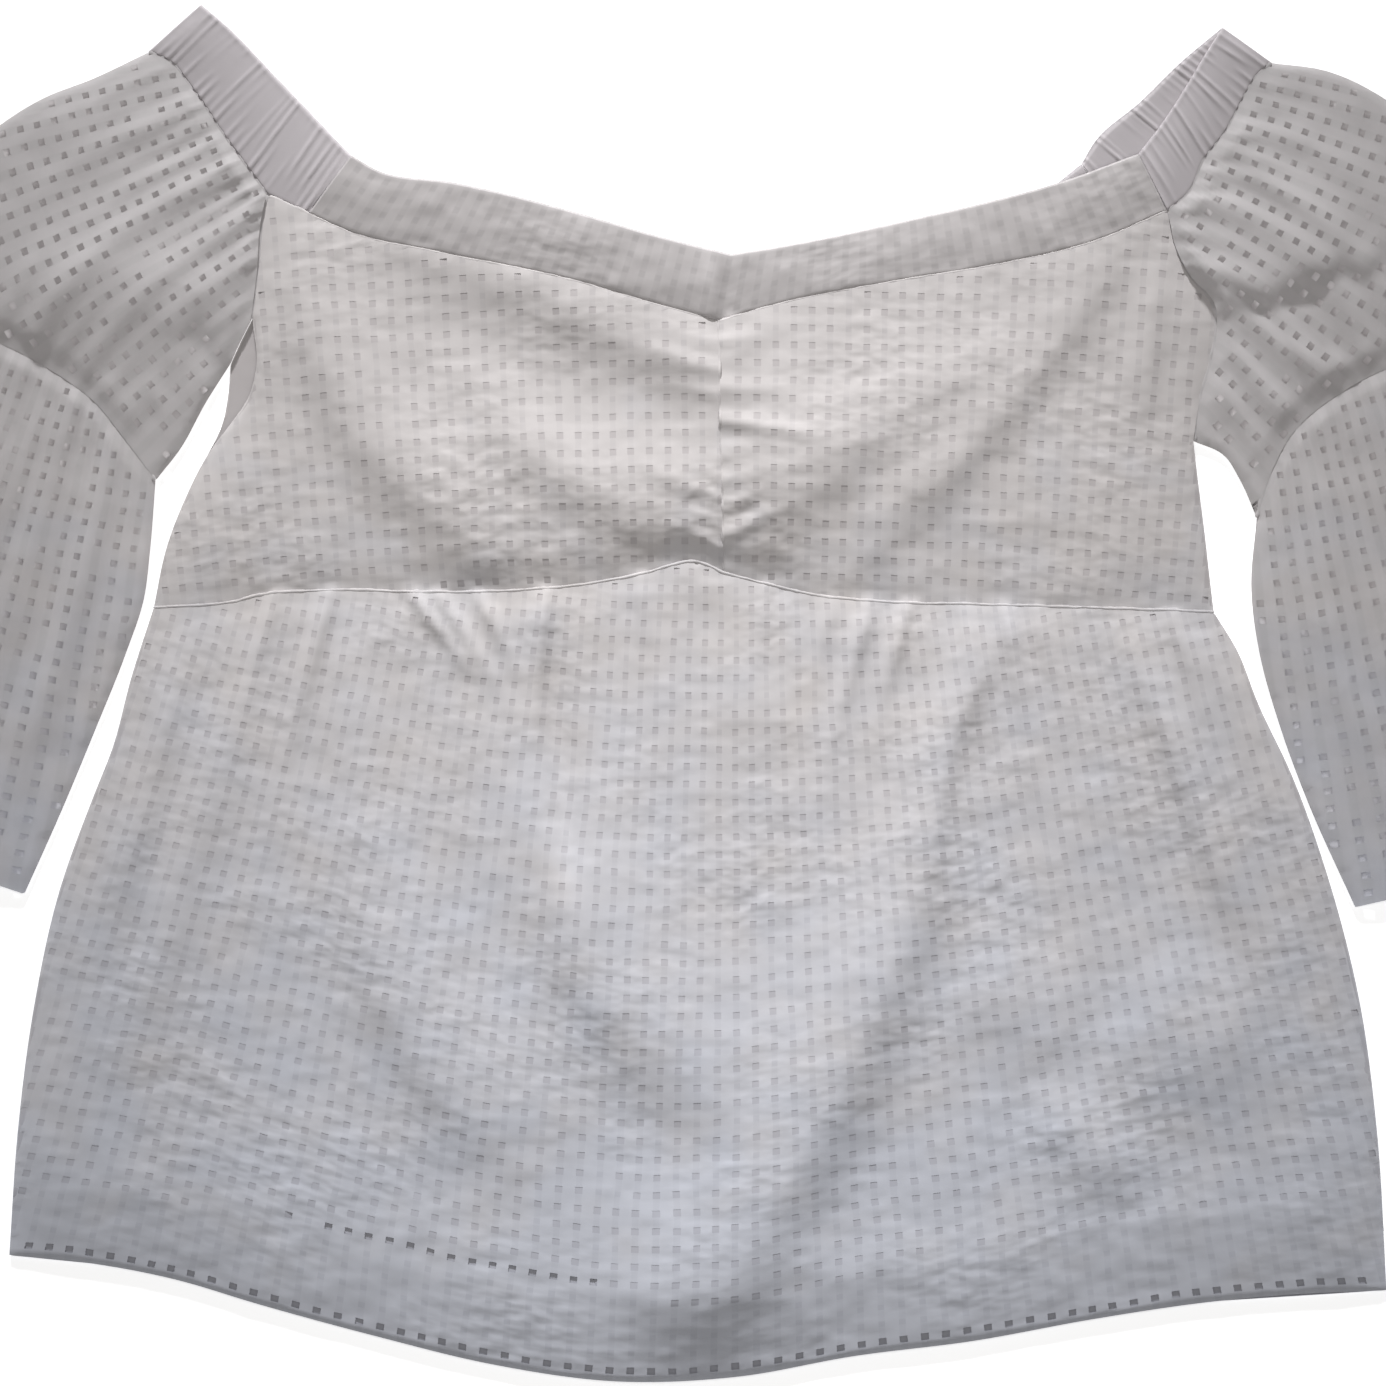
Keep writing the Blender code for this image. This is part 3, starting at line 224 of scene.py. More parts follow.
# Each crease runs from left to right, or upwards. Its flank above or to the left of the crest
# is as wide as "above" says, and the other as wide as "below" says. Both widths change along
# the crease, until at its end they are "grow" times what they are at its start.
FRONT_CREASES = table(Crease, (-204, 244, -153, 118, -50, 28, 30, 16, 2.0, 4.8),
    (-122, 166, -68, 102, 20, 60, 20, 16, 1.3, 3.6), (-58, 100, 0, 104, 56, 96, 26, 21, 1.0, 2.0),
    (-176, 218, -52, 174, 78, 94, 36, 18, 1.2, 5.2), (-14, 36, 70, 118, 160, 172, 26, 17, 0.7, 4.2),
    (44, 38, 135, 130, 212, 234, 22, 11, 0.7, 3.6), (-206, 116, -199, 170, -192, 218, 9, 7, 1.0, 2.4),
    (198, 112, 202, 165, 207, 210, 9, 7, 1.0, 2.6), (-152, -110, -157, -31, -160, 40, 14, 8, 1.0, 2.0),
    (-162, -40, -138, -147, -58, -240, 32, 17, 1.4, 4.8), (-58, -110, -66, -35, -72, 40, 6, 9, 1.0, -3.4),
    (-80, -20, -36, -146, 44, -212, 38, 22, 1.5, 6.4), (-44, -346, 64, -168, 122, -20, 38, 20, 0.55, 8.0),
    (98, -110, 112, -17, 141, 42, 15, 8, 1.0, 3.8), (186, 44, 216, -31, 252, -136, 14, 7, 1.0, 3.8),
    (222, 44, 248, -8, 284, -84, 14, 11, 1.0, 3.4), (176, -142, 222, -156, 272, -160, 34, 32, 1.0, 4.0),
    (146, -180, 172, -204, 190, -238, 20, 16, 1.0, 3.2),
    (104, -132, 144, -142, 184, -148, 26, 24, 1.0, 2.4), (-278, -130, -253, -40, -236, 40, 10, 9, 1.0, 3.2),
    (-268, -190, -228, -49, -204, 36, 12, 12, 1.0, 3.0), (-12, -2, 18, -6, 48, -20, 18, 20, 1.0, 1.4),
    (-62, -270, 12, -282, 88, -264, 36, 26, 1.0, 2.4))
WAIST_GATHERS = table(Gather, (-196, -0.28, 46, 4.0, 1.9), (-171, -0.26, 60, 4.5, 3.0),
    (-134, 0.75, 30, 4.5, 3.4), (-122, 0.62, 34, 4.5, 3.0), (-104, 0.50, 26, 4.0, 2.6),
    (-73, -0.08, 52, 4.0, 3.0), (-30, 0.12, 40, 4.0, 1.8), (28, -0.10, 26, 3.6, 1.6),
    (58, -0.22, 30, 4.0, 1.6), (75, -0.26, 58, 4.5, 2.7), (92, -0.24, 40, 4.0, 3.0),
    (118, 0.12, 48, 4.0, 1.9), (137, 0.16, 64, 4.5, 3.2), (151, 0.22, 34, 4.0, 2.0),
    (213, 0.30, 56, 4.5, 2.4))
CENTRE_PUCKERS_LEFT = table(Pucker, (157, 22, 0.34, 0.9), (147, 34, 0.28, 1.5), (136, 18, 0.20, 0.8),
    (120, 16, 0.10, 0.4), (100, 24, 0.16, 0.8), (88, 34, 0.40, 1.4), (77, 22, 0.34, 1.0),
    (66, 30, 0.50, 1.2))
CENTRE_PUCKERS_RIGHT = table(Pucker, (159, 26, 0.22, 1.0), (151, 16, 0.30, 0.6), (139, 40, -0.05, 1.2),
    (124, 56, -0.14, 1.8), (111, 22, 0.06, 0.6), (96, 30, 0.20, 1.0), (84, 24, 0.44, 1.2),
    (71, 36, 0.48, 1.4))


def bell(distance, width):
    return np.exp(-(distance / width) ** 2)


def soft_step(value):
    value = np.clip(value, 0, 1)
    return value * value * (3 - 2 * value)


def edge_curl(distance, reach):
    """A quarter circle from 0 at an edge to 1 at the reach."""
    return np.sqrt(1 - (1 - np.clip(distance / reach, 0, 1)) ** 2)


def nearest(x, y, line):
    """Distance to a line, the share of it passed, the side, and the nearest place's x and y."""
    best = np.full(np.shape(x), 1e9)
    share, side, near_x, near_y = (np.zeros(np.shape(x)) for _ in range(4))
    for k in range(len(line) - 1):
        ax, ay = line[k]
        dx, dy = line[k + 1] - line[k]
        f = np.clip(((x - ax) * dx + (y - ay) * dy) / (dx * dx + dy * dy + 1e-12), 0, 1)
        px, py = ax + f * dx, ay + f * dy
        distance = np.hypot(x - px, y - py)
        closer = distance < best
        best = np.where(closer, distance, best)
        share = np.where(closer, (k + f) / (len(line) - 1), share)
        side = np.where(closer, dx * (y - ay) - dy * (x - ax), side)
        near_x, near_y = np.where(closer, px, near_x), np.where(closer, py, near_y)
    return best, share, side, near_x, near_y


def distance_to(x, y, line):
    return nearest(x, y, line)[0]


def crease_height(x, y, crease):
    """A ridge with a gentle and a steep flank along a bent line, fading out at both ends."""
    line = curve([(crease.x1, crease.y1), (crease.x2, crease.y2), (crease.x3, crease.y3)], 16)
    distance, share, side, _, _ = nearest(x, y, line)
    size = (1 + (crease.grow - 1) * share) * 2 / (1 + crease.grow)
    above = bell(distance, crease.above * size)
    below = bell(distance, crease.below * size)
    blend = soft_step(0.5 + 0.5 * np.sign(side) * np.clip(distance / 2.5, 0, 1))
    ends = soft_step(share / CREASE_FADE) * soft_step((1 - share) / CREASE_FADE)
    return crease.height * ends * (above * blend + below * (1 - blend))


def waves(x, y, size, seed):
    """Smooth uneven bumps about size across, between -1 and 1."""
    values = np.random.RandomState(seed).uniform(-1, 1, (64, 64))
    gx, gy = np.asarray(x) / size + 500, np.asarray(y) / size + 500
    i, j = np.floor(gx).astype(int), np.floor(gy).astype(int)
    fx, fy = soft_step(gx - i), soft_step(gy - j)
    a = values[i & 63, j & 63] * (1 - fx) + values[(i + 1) & 63, j & 63] * fx
    b = values[i & 63, (j + 1) & 63] * (1 - fx) + values[(i + 1) & 63, (j + 1) & 63] * fx
    return a * (1 - fy) + b * fy


def smooth_between(value, at, heights):
    """A smooth curve through heights at rising places."""
    slope = np.gradient(heights, at)
    k = np.clip(np.searchsorted(at, value, side="right") - 1, 0, len(at) - 2)
    length = at[k + 1] - at[k]
    u = np.clip((value - at[k]) / length, 0, 1)
    return hermite(u, heights[k], heights[k + 1], length * slope[k], length * slope[k + 1])


def front_relief(x, y):
    """Height of the front above its lowest level, the same on every front piece."""
    sections = np.array(BODY_SECTIONS, float)
    left = np.interp(y, sections[:, 0], sections[:, 1])
    right = np.interp(y, sections[:, 0], sections[:, 2])
    inside = soft_step(0.5 * np.minimum(x - left, right - x) / SIDE_TAPER + 0.5) * 2 - 1
    inside = np.clip(inside, 0, 1) ** EDGE_ROUNDNESS
    rises = np.array(BODY_RISES[::-1], float)
    middle = smooth_between(y, rises[:, 0], rises[:, 1])
    flank = smooth_between(y, rises[:, 0], rises[:, 2])
    centre = bell(x - SEAM_MIDDLE, MIDDLE_REACH)
    relief = middle * centre + flank * (1 - centre)
    relief = relief + sum(crease_height(x, y, crease) for crease in FRONT_CREASES)
    waist = y - line_height(x, WAIST_LINE)
    for gather in WAIST_GATHERS:
        below = np.clip(-waist, 0, None)
        across = x - gather.x - gather.lean * below
        fade = bell(below, gather.reach) * soft_step(-waist / 3 + 0.6)
        relief = relief + gather.height * fade * bell(across, gather.width)
    seam = np.interp(y, [CENTRE_SEAM[0].y, CENTRE_SEAM[-1].y], [CENTRE_SEAM[0].x, CENTRE_SEAM[-1].x])
    for side, puckers in ((-1, CENTRE_PUCKERS_LEFT), (1, CENTRE_PUCKERS_RIGHT)):
        out = side * (x - seam)
        for pucker in puckers:
            fade = np.where(out > 0, bell(out - PUCKER_START, pucker.reach * 0.62), 0)
            relief = relief + pucker.height * fade * bell(y - pucker.y - pucker.slant * out, PUCKER_WIDTH)
    relief = relief * (1 - SEAM_PRESS * bell(waist, SEAM_DRAW))
    hem = soft_step((y - line_height(x, HEM_LINE)) / HEM_FALL * 0.5 + 0.5) * 2 - 1
    relief = relief * inside * (HEM_LEVEL + (1 - HEM_LEVEL) * np.clip(hem, 0, 1))
    edge = y - line_height(x, LINING_EDGE_LINE)
    relief = relief - LINING_STEP * (1 - soft_step(edge / LINING_FADE + 0.5))
    return np.maximum(relief, 0.0) + LEAST_RELIEF * inside


print("front creases:", len(FRONT_CREASES), "gathers:", len(WAIST_GATHERS))

# %% [markdown]
# ## The openwork net
# The cotton is woven as a windowpane: tapes of close threads cross every 8 mm and leave a
# small square hole between them. The holes could be drawn on in a material, but real ones
# let the lining's shade show at every angle. A net is a lattice in the cloth's own
# directions, cut off at the seam lines, with one face left out for each hole. The warp
# fans out a little over the body, so a lattice is laid in rings and rays around a far
# point, and its border points are moved onto the seam line.

# %% Net of tapes and holes
PITCH = 8.1            # from hole to hole, mm
HOLE = 3.0             # side of a hole, mm
TAPE_STEPS = 3         # mesh steps across a tape between two holes
CUT_GAP = 0.15         # each piece ends this far inside its seam line
HOLE_CLEARANCE = 3.2   # holes nearer than this to a seam are closed by its allowance

Fan = namedtuple("Fan", "x y radius angle")   # a far point, and the ring and ray through 0, 0


def fan_place(fan, u, v):
    """From cloth millimetres, u across the rays and v outwards, to the table's x and y."""
    angle = fan.angle + u / fan.radius
    return fan.x + (fan.radius + v) * np.cos(angle), fan.y + (fan.radius + v) * np.sin(angle)


def fan_cells(fan, outline):
    """The rows and columns of cells that cover an outline."""
    dx, dy = outline[:, 0] - fan.x, outline[:, 1] - fan.y
    turn = np.arctan2(dy, dx) - fan.angle
    turn = (turn + np.pi) % (2 * np.pi) - np.pi
    u, v = turn * fan.radius / PITCH, (np.hypot(dx, dy) - fan.radius) / PITCH
    return [int(math.floor(u.min())) - 1, int(math.ceil(u.max())) + 2,
            int(math.floor(v.min())) - 1, int(math.ceil(v.max())) + 2]


def lattice_lines(first, last):
    """Lattice positions from one cell to another, and which steps lie across a hole."""
    tape = (PITCH - HOLE) / TAPE_STEPS
    lines, holes = [], []
    for cell in range(first, last):
        start = cell * PITCH - HOLE / 2
        lines += [start] + [start + HOLE + tape * k for k in range(TAPE_STEPS)]
        holes += [True] + [False] * TAPE_STEPS
    return np.array(lines), np.array(holes[:-1])


def inside_of(x, y, outline):
    """True where a point is inside the closed outline."""
    inside = np.zeros(np.shape(x), bool)
    following = np.roll(outline, -1, axis=0)
    for (ax, ay), (bx, by) in zip(outline, following):
        if ay == by:
            continue
        crosses = ((ay > y) != (by > y)) & (x < (bx - ax) * (y - ay) / (by - ay) + ax)
        inside ^= crosses
    return inside


def to_border(x, y, outline):
    """Distance to the closed outline, and its nearest point."""
    distance, _, _, near_x, near_y = nearest(x, y, np.concatenate([outline, outline[:1]]))
    return distance, near_x, near_y


def shrink(outline, gap):
    """The outline moved in by a small gap."""
    after = np.roll(outline, -1, axis=0) - outline
    before = outline - np.roll(outline, 1, axis=0)
    area = np.sum(outline[:, 0] * np.roll(outline[:, 1], -1) - np.roll(outline[:, 0], -1) * outline[:, 1])
    turn = 1.0 if area > 0 else -1.0
    normals = []
    for edge in (before, after):
        unit = edge / (np.linalg.norm(edge, axis=1)[:, None] + 1e-9)
        normals.append(turn * np.stack([-unit[:, 1], unit[:, 0]], axis=1))
    spread = 1 + np.sum(normals[0] * normals[1], axis=1)
    return outline + gap * (normals[0] + normals[1]) / np.maximum(spread, 0.35)[:, None]


def ring_of(*lines):
    """A closed outline from lines that follow each other."""
    return np.concatenate([line[:-1] for line in lines])


def cut_out(x, y, u, v, whole, drawn, outline):
    """The drawn cells of a lattice, with the border of the whole cloth moved onto the outline."""
    columns, rows = x.shape
    index = np.arange(x.size).reshape(x.shape)
    i, j = np.nonzero(drawn)
    faces = np.stack([index[i, j], index[i + 1, j], index[i + 1, j + 1], index[i, j + 1]], axis=1)
    # border points are the ones with a missing neighbour cell
    count = np.zeros(x.shape, int)
    for di in (0, 1):
        for dj in (0, 1):
            count[di:columns - 1 + di, dj:rows - 1 + dj] += whole
    edge = (count > 0) & (count < 4)
    distance, border_x, border_y = to_border(x, y, outline)
    x, y, distance = np.where(edge, border_x, x), np.where(edge, border_y, y), np.where(edge, 0.0, distance)
    used = np.unique(faces)
    renumber = np.full(x.size, -1)
    renumber[used] = np.arange(len(used))
    return [grid.reshape(-1)[used] for grid in (x, y, distance, u, v)] + [renumber[faces]]


def cloth_net(outline, fan, hole_chance=1.0, seed=1, wobble=0.55, filled=None, sag=None, sure=None):
    """Points, faces and cloth coordinates of a net cut to an outline.

    Holes stay closed where filled says so and open where sure does, and sag moves the rows up or down.
    Returns x and y, the distance to the border, u and v in cells, and the faces."""
    outline = shrink(outline, CUT_GAP)
    low_u, high_u, low_v, high_v = fan_cells(fan, outline)
    lines_u, hole_u = lattice_lines(low_u, high_u)
    lines_v, hole_v = lattice_lines(low_v, high_v)
    u, v = np.meshgrid(lines_u, lines_v, indexing="ij")
    drift_u = wobble * waves(u, v, 21, seed) + 0.35 * wobble * waves(u, v, 9, seed + 1)
    drift_v = wobble * waves(u, v, 19, seed + 2) + 0.35 * wobble * waves(u, v, 8, seed + 3)
    x, y = fan_place(fan, u + drift_u, v + drift_v)
    if sag is not None:
        y = y + sag(x, y)
    centre_x = (x[:-1, :-1] + x[1:, :-1] + x[:-1, 1:] + x[1:, 1:]) / 4
    centre_y = (y[:-1, :-1] + y[1:, :-1] + y[:-1, 1:] + y[1:, 1:]) / 4
    keep = inside_of(centre_x, centre_y, outline)
    border, _, _ = to_border(centre_x, centre_y, outline)
    is_hole = hole_u[:, None] & hole_v[None, :]
    open_hole = is_hole & keep & (border > HOLE_CLEARANCE)
    chance = np.random.RandomState(seed + 7).uniform(0, 1, keep.shape)
    if sure is not None:
        chance = np.where(sure(centre_x, centre_y), 0.0, chance)
    open_hole &= chance < hole_chance
    if filled is not None:
        open_hole &= ~filled(centre_x, centre_y)
    return cut_out(x, y, u / PITCH, v / PITCH, keep, keep & ~open_hole, outline)


def cloth_mesh(name, parts, material, weld=False):
    """One object from parts, each (x, y, z, u, v, faces) in millimetres and cells.

    It is attached to the root body."""
    points, faces, coordinates, start = [], [], [], 0
    for x, y, z, u, v, part_faces in parts:
        points.append(np.stack([x, y, z], axis=1) * MM)
        faces.append(part_faces + start)
        coordinates.append(np.stack([u, v], axis=1))
        start += len(x)
    points, faces = np.concatenate(points), np.concatenate(faces)
    coordinates = np.concatenate(coordinates)
    mesh = bpy.data.meshes.new(name)
    mesh.from_pydata(points.tolist(), [], faces.tolist())
    layer = mesh.uv_layers.new(name="cloth")
    loops = np.zeros(len(mesh.loops), int)
    mesh.loops.foreach_get("vertex_index", loops)
    layer.data.foreach_set("uv", coordinates[loops].reshape(-1))
    mesh.polygons.foreach_set("use_smooth", np.ones(len(mesh.polygons), bool))
    mesh.materials.append(material)
    mesh.update()
    piece = bpy.data.objects.new(name, mesh)
    bpy.context.collection.objects.link(piece)
    if weld:
        with_edges = bmesh.new()
        with_edges.from_mesh(mesh)
        bmesh.ops.remove_doubles(with_edges, verts=with_edges.verts, dist=0.00002)
        with_edges.to_mesh(mesh)
        with_edges.free()
    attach(piece, "root")
    return piece


def facing_up(x, y, faces):
    """Turn the faces so that they look up."""
    a, b, c = faces[:, 0], faces[:, 1], faces[:, 2]
    turn = (x[b] - x[a]) * (y[c] - y[a]) - (y[b] - y[a]) * (x[c] - x[a])
    return faces if np.median(turn) > 0 else faces[:, ::-1]


# %% [markdown]
# ## Finishes
# Everything is matt white cotton, but each use of it looks a little different. The net's
# warp tapes are denser than its weft tapes, so they are a shade lighter, and the fine
# horizontal puckers of a crinkled weave catch the light. The lining's colour is darkened
# as painted shade for the holes that look onto it, and a painted light tint makes all the
# cotton warmer at the neck and cooler at the hem. The colours are sRGB hex values,
# turned to linear by one function.

# %% Materials
def colour(hex_value):
    """An sRGB hex colour as linear red, green, blue and alpha."""
    values = [int(hex_value[k:k + 2], 16) / 255 for k in (1, 3, 5)]
    return [v / 12.92 if v <= 0.04045 else ((v + 0.055) / 1.055) ** 2.4 for v in values] + [1.0]


def add(tree, kind, inputs=None, **settings):
    """Add a node and set it up; an input is a value, or the (node, output) pair that feeds it."""
    node = tree.nodes.new("ShaderNode" + kind)
    for key, value in settings.items():
        setattr(node, key, value)
    for key, value in (inputs or {}).items():
        if isinstance(value, tuple) and isinstance(value[0], bpy.types.Node):
            tree.links.new(value[0].outputs[value[1]], node.inputs[key])
        else:
            node.inputs[key].default_value = value
    return node


def cotton(name, light, shade, pucker=0.5, squares=0.0, tape=0.5, square_from=-0.2, thin=0.0):
    """Woven cotton: crinkled tapes, a soft mottle and, where squares is above 0, covered holes."""
    material = bpy.data.materials.new(name)
    material.use_nodes = True
    tree = material.node_tree
    shader = tree.nodes["Principled BSDF"]
    shader.inputs["Roughness"].default_value = 0.88
    shader.inputs["Sheen Weight"].default_value = 0.12
    shader.inputs["Sheen Roughness"].default_value = 0.5
    cloth = (add(tree, "UVMap", uv_map="cloth"), "UV")
    # the mottle of an uneven weave, a few cells across
    mottle = add(tree, "TexNoise", {"Vector": cloth, "Scale": 0.9, "Detail": 4.0, "Roughness": 0.7})
    # warp tapes are denser than weft tapes: soft stripes, one a cell, and squares where both are thin
    split = add(tree, "SeparateXYZ", {"Vector": cloth})
    stripes = []
    for axis in ("X", "Y"):
        turned = add(tree, "Math", {0: (split, axis), 1: 2 * math.pi}, operation="MULTIPLY")
        wave = add(tree, "Math", {0: (turned, 0)}, operation="COSINE")
        stripe = add(tree, "MapRange", {"Value": (wave, 0), "From Min": square_from, "From Max": 0.6,
                                        "To Min": 0.0, "To Max": 1.0}, clamp=True)
        stripes.append((stripe, 0))
    square = add(tree, "Math", {0: stripes[0], 1: stripes[1]}, operation="MULTIPLY")
    column = add(tree, "Math", {0: stripes[0], 1: tape}, operation="MULTIPLY")
    covered = add(tree, "Math", {0: (square, 0), 1: squares, 2: (column, 0)}, operation="MULTIPLY_ADD")
    amount = add(tree, "Math", {0: (mottle, "Fac"), 1: 0.5, 2: (covered, 0)}, operation="MULTIPLY_ADD",
                 use_clamp=True)
    mix = add(tree, "Mix", {"Factor": (amount, 0), "A": colour(light), "B": colour(shade)},
              data_type="RGBA")
    # painted light tint: warmer light at the neck and cooler light at the hem, unevenly so, painted into
    # the cotton
    place = (add(tree, "TexCoord"), "Object")
    cloudy = add(tree, "TexNoise", {"Vector": place, "Scale": 34.0, "Detail": 1.0})
    where = add(tree, "SeparateXYZ", {"Vector": place})
    drift = add(tree, "Math", {0: (cloudy, "Fac"), 1: 0.30, 2: (where, "Y")}, operation="MULTIPLY_ADD")
    coolness = add(tree, "MapRange", {"Value": (drift, 0), "From Min": 0.24, "From Max": -0.10,
                                      "To Min": 0.0, "To Max": 1.0}, clamp=True)
    tint = add(tree, "Mix", {"Factor": (coolness, 0), "A": colour(WARM_LIGHT_TINT), "B": colour(COOL_LIGHT_TINT)},
               data_type="RGBA")
    tinted = add(tree, "Mix", {"Factor": 1.0, "A": (mix, "Result"), "B": (tint, "Result")},
                 data_type="RGBA", blend_type="MULTIPLY")
    tree.links.new(tinted.outputs["Result"], shader.inputs["Base Color"])
    # puckers run along the weft, about six millimetres by eleven, stronger in some places
    stretch = add(tree, "Mapping", {"Vector": cloth, "Scale": (0.75, 1.25, 1.0)})
    crinkle = add(tree, "TexNoise", {"Vector": (stretch, "Vector"), "Scale": 1.0, "Detail": 1.0,
                                     "Roughness": 0.4})
    patches = add(tree, "TexNoise", {"Vector": cloth, "Scale": 0.11, "Detail": 1.0})
    strength = add(tree, "MapRange", {"Value": (patches, "Fac"), "From Min": 0.42, "From Max": 0.66,
                                      "To Min": 0.15, "To Max": 1.5}, clamp=True)
    puckers = add(tree, "Math", {0: (crinkle, "Fac"), 1: (strength, 0)}, operation="MULTIPLY")
    # and the threads of the weave, three to a millimetre
    threads = add(tree, "TexNoise", {"Vector": cloth, "Scale": 24.0, "Detail": 1.0})
    relief = add(tree, "Math", {0: (threads, "Fac"), 1: 0.04, 2: (puckers, 0)}, operation="MULTIPLY_ADD")
    bump = add(tree, "Bump", {"Height": (relief, 0), "Strength": pucker, "Distance": 0.0014})
    tree.links.new(bump.outputs["Normal"], shader.inputs["Normal"])
    if thin > 0:
        # a single layer of thin cotton lets part of the light through
        through = add(tree, "BsdfTranslucent", {"Color": (tinted, "Result")})
        both = add(tree, "MixShader", {"Fac": thin, 1: (shader, 0), 2: (through, 0)})
        tree.links.new(both.outputs[0], tree.nodes["Material Output"].inputs["Surface"])
    return material


# tints of painted light: warm at the neck, cool at the hem
WARM_LIGHT_TINT, COOL_LIGHT_TINT = "#fff9f6", "#f3f6ff"
# openwork of the front, whose closed holes still show as faint squares
net_cotton = cotton("white_openwork_cotton", "#cbcbcc", "#bebec0", pucker=0.48, squares=0.5, tape=0.3,
                    square_from=0.5)
# the same cloth in the sleeves, a single layer that lets some light through
sleeve_cotton = cotton("white_openwork_cotton_unlined", "#cecfd2", "#c2c4c6", pucker=0.12, tape=0.4,
                       thin=0.2)
# the same cloth on the back
back_cotton = cotton("white_openwork_cotton_back", "#d0d0d2", "#c0c0c2")
# a plain fine lawn behind the body, painted darker than the net: painted shade where the holes look onto it
lining_cotton_painted_shade = cotton("white_cotton_lawn_painted_shade", "#bcbbbd", "#b2b1b3", pucker=0.1, tape=0.0)
# the neck band, folded double, so that its holes are covered
band_cotton = cotton("white_cotton_folded_band", "#c4c4c6", "#b2b2b4", squares=0.35, tape=0.25,
                     square_from=0.1)
# the elastic bands, drawn up so tightly that their weave hardly shows
ruched_cotton = cotton("white_cotton_ruched", "#c1c0c5", "#b6b5ba", pucker=0.15, tape=0.1)
print("finishes:", len([m for m in bpy.data.materials if m.name.startswith("white")]))

# %% [markdown]
# ## Front of the body
# The two bodice halves and the peplum are nets over a lining. The cloth bends down at the
# seams, because the allowances behind pull it in, and rolls over at the side seams. The
# warp fans out below the waist and draws together a little above it.

# %% Front body pieces
BODICE_FAN = Fan(7, -2200, 2310, math.pi / 2)
PEPLUM_FAN = Fan(14, 932, 1047.1, -math.pi / 2)
WAIST_LEVEL, PEPLUM_LENGTH = 45.0, 330.0
HEM_ROW = 5.0          # height above the hem of its lowest row of holes
TOP_ROW = 45.5         # and of the topmost row in the turned-up hem, which shows on the left
TOP_ROW_FROM, TOP_ROW_TO = -180.0, -55.0


def front_height(x, y):
    """Top of the front's net, with the small unevenness that the solids leave out."""
    relief = front_relief(x, y)
    uneven = 0.35 * waves(x, y, 16, 40) + 0.24 * waves(x * 0.8, y * 1.7, 7, 41)
    return BASE + WALL + relief + uneven * soft_step(relief / 2)


def dip(distance, depth, reach):
    """How far cloth sinks near a seam."""
    return depth * (1 - soft_step(distance / reach))


def hem_sag(x, y):
    """The peplum's rows bend away from the fan's circles until they follow the hem."""
    low = soft_step((WAIST_LEVEL - y) / PEPLUM_LENGTH)
    hem_rise = line_height(x, HEM_LINE) - HEM_LINE[:, 1].min()
    circle_radius = PEPLUM_FAN.y - HEM_LINE[:, 1].min()
    circle_rise = circle_radius - np.sqrt(circle_radius**2 - np.clip(x - PEPLUM_FAN.x, -400, 400) ** 2)
    return low * (hem_rise - circle_rise)


def near_hem(x, y):
    """True where every hole is open: in the turned-up hem and one row above it."""
    return y < line_height(x, LINING_EDGE_LINE) + PITCH / 2


def in_hem(x, y):
    """True in the turned-up hem, but for its lowest row and, on the left, its topmost."""
    height = y - line_height(x, HEM_LINE)
    top = y - line_height(x, LINING_EDGE_LINE)
    lowest = np.abs(height - HEM_ROW) < PITCH / 2
    topmost = (np.abs(height - TOP_ROW) < PITCH / 2) & (x > TOP_ROW_FROM) & (x < TOP_ROW_TO)
    on_left = (height < TOP_ROW) & (x > TOP_ROW_FROM - PITCH) & (x < TOP_ROW_TO)
    return ((top < PITCH / 2) | on_left) & ~lowest & ~topmost


SEAM_DIP, SEAM_REACH = 0.2, 2.4      # how far the net sinks at a seam, and over what width
EDGE_ROLL, EDGE_REACH = 1.0, 1.1     # how far and how near its edge the front rolls over


def front_net(name, outline, fan, seed, seams, node, filled=None, sag=None, sure=None):
    x, y, distance, u, v, faces = cloth_net(outline, fan, 0.86, seed, filled=filled, sag=sag, sure=sure)
    z = front_height(x, y)
    to_seam = np.full_like(x, 1e9)
    for seam in seams:
        to_seam = np.minimum(to_seam, distance_to(x, y, seam))
    free_edge = np.minimum(distance, 6) < to_seam - 0.3
    roll = EDGE_ROLL * (1 - edge_curl(distance, EDGE_REACH))
    z = z - np.where(free_edge, roll, dip(to_seam, SEAM_DIP, SEAM_REACH))
    piece = cloth_mesh(name, [(x, y, z, u, v, facing_up(x, y, faces))], net_cotton)
    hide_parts(node)
    return piece


def plain_sheet(outline, step):
    """A plain lattice cut to an outline."""
    xs = np.arange(outline[:, 0].min() - step, outline[:, 0].max() + 2 * step, step)
    ys = np.arange(outline[:, 1].min() - step, outline[:, 1].max() + 2 * step, step)
    x, y = np.meshgrid(xs, ys, indexing="ij")
    centre_x, centre_y = x[:-1, :-1] + step / 2, y[:-1, :-1] + step / 2
    keep = inside_of(centre_x, centre_y, outline)
    return cut_out(x, y, x / PITCH, y / PITCH, keep, keep, outline)


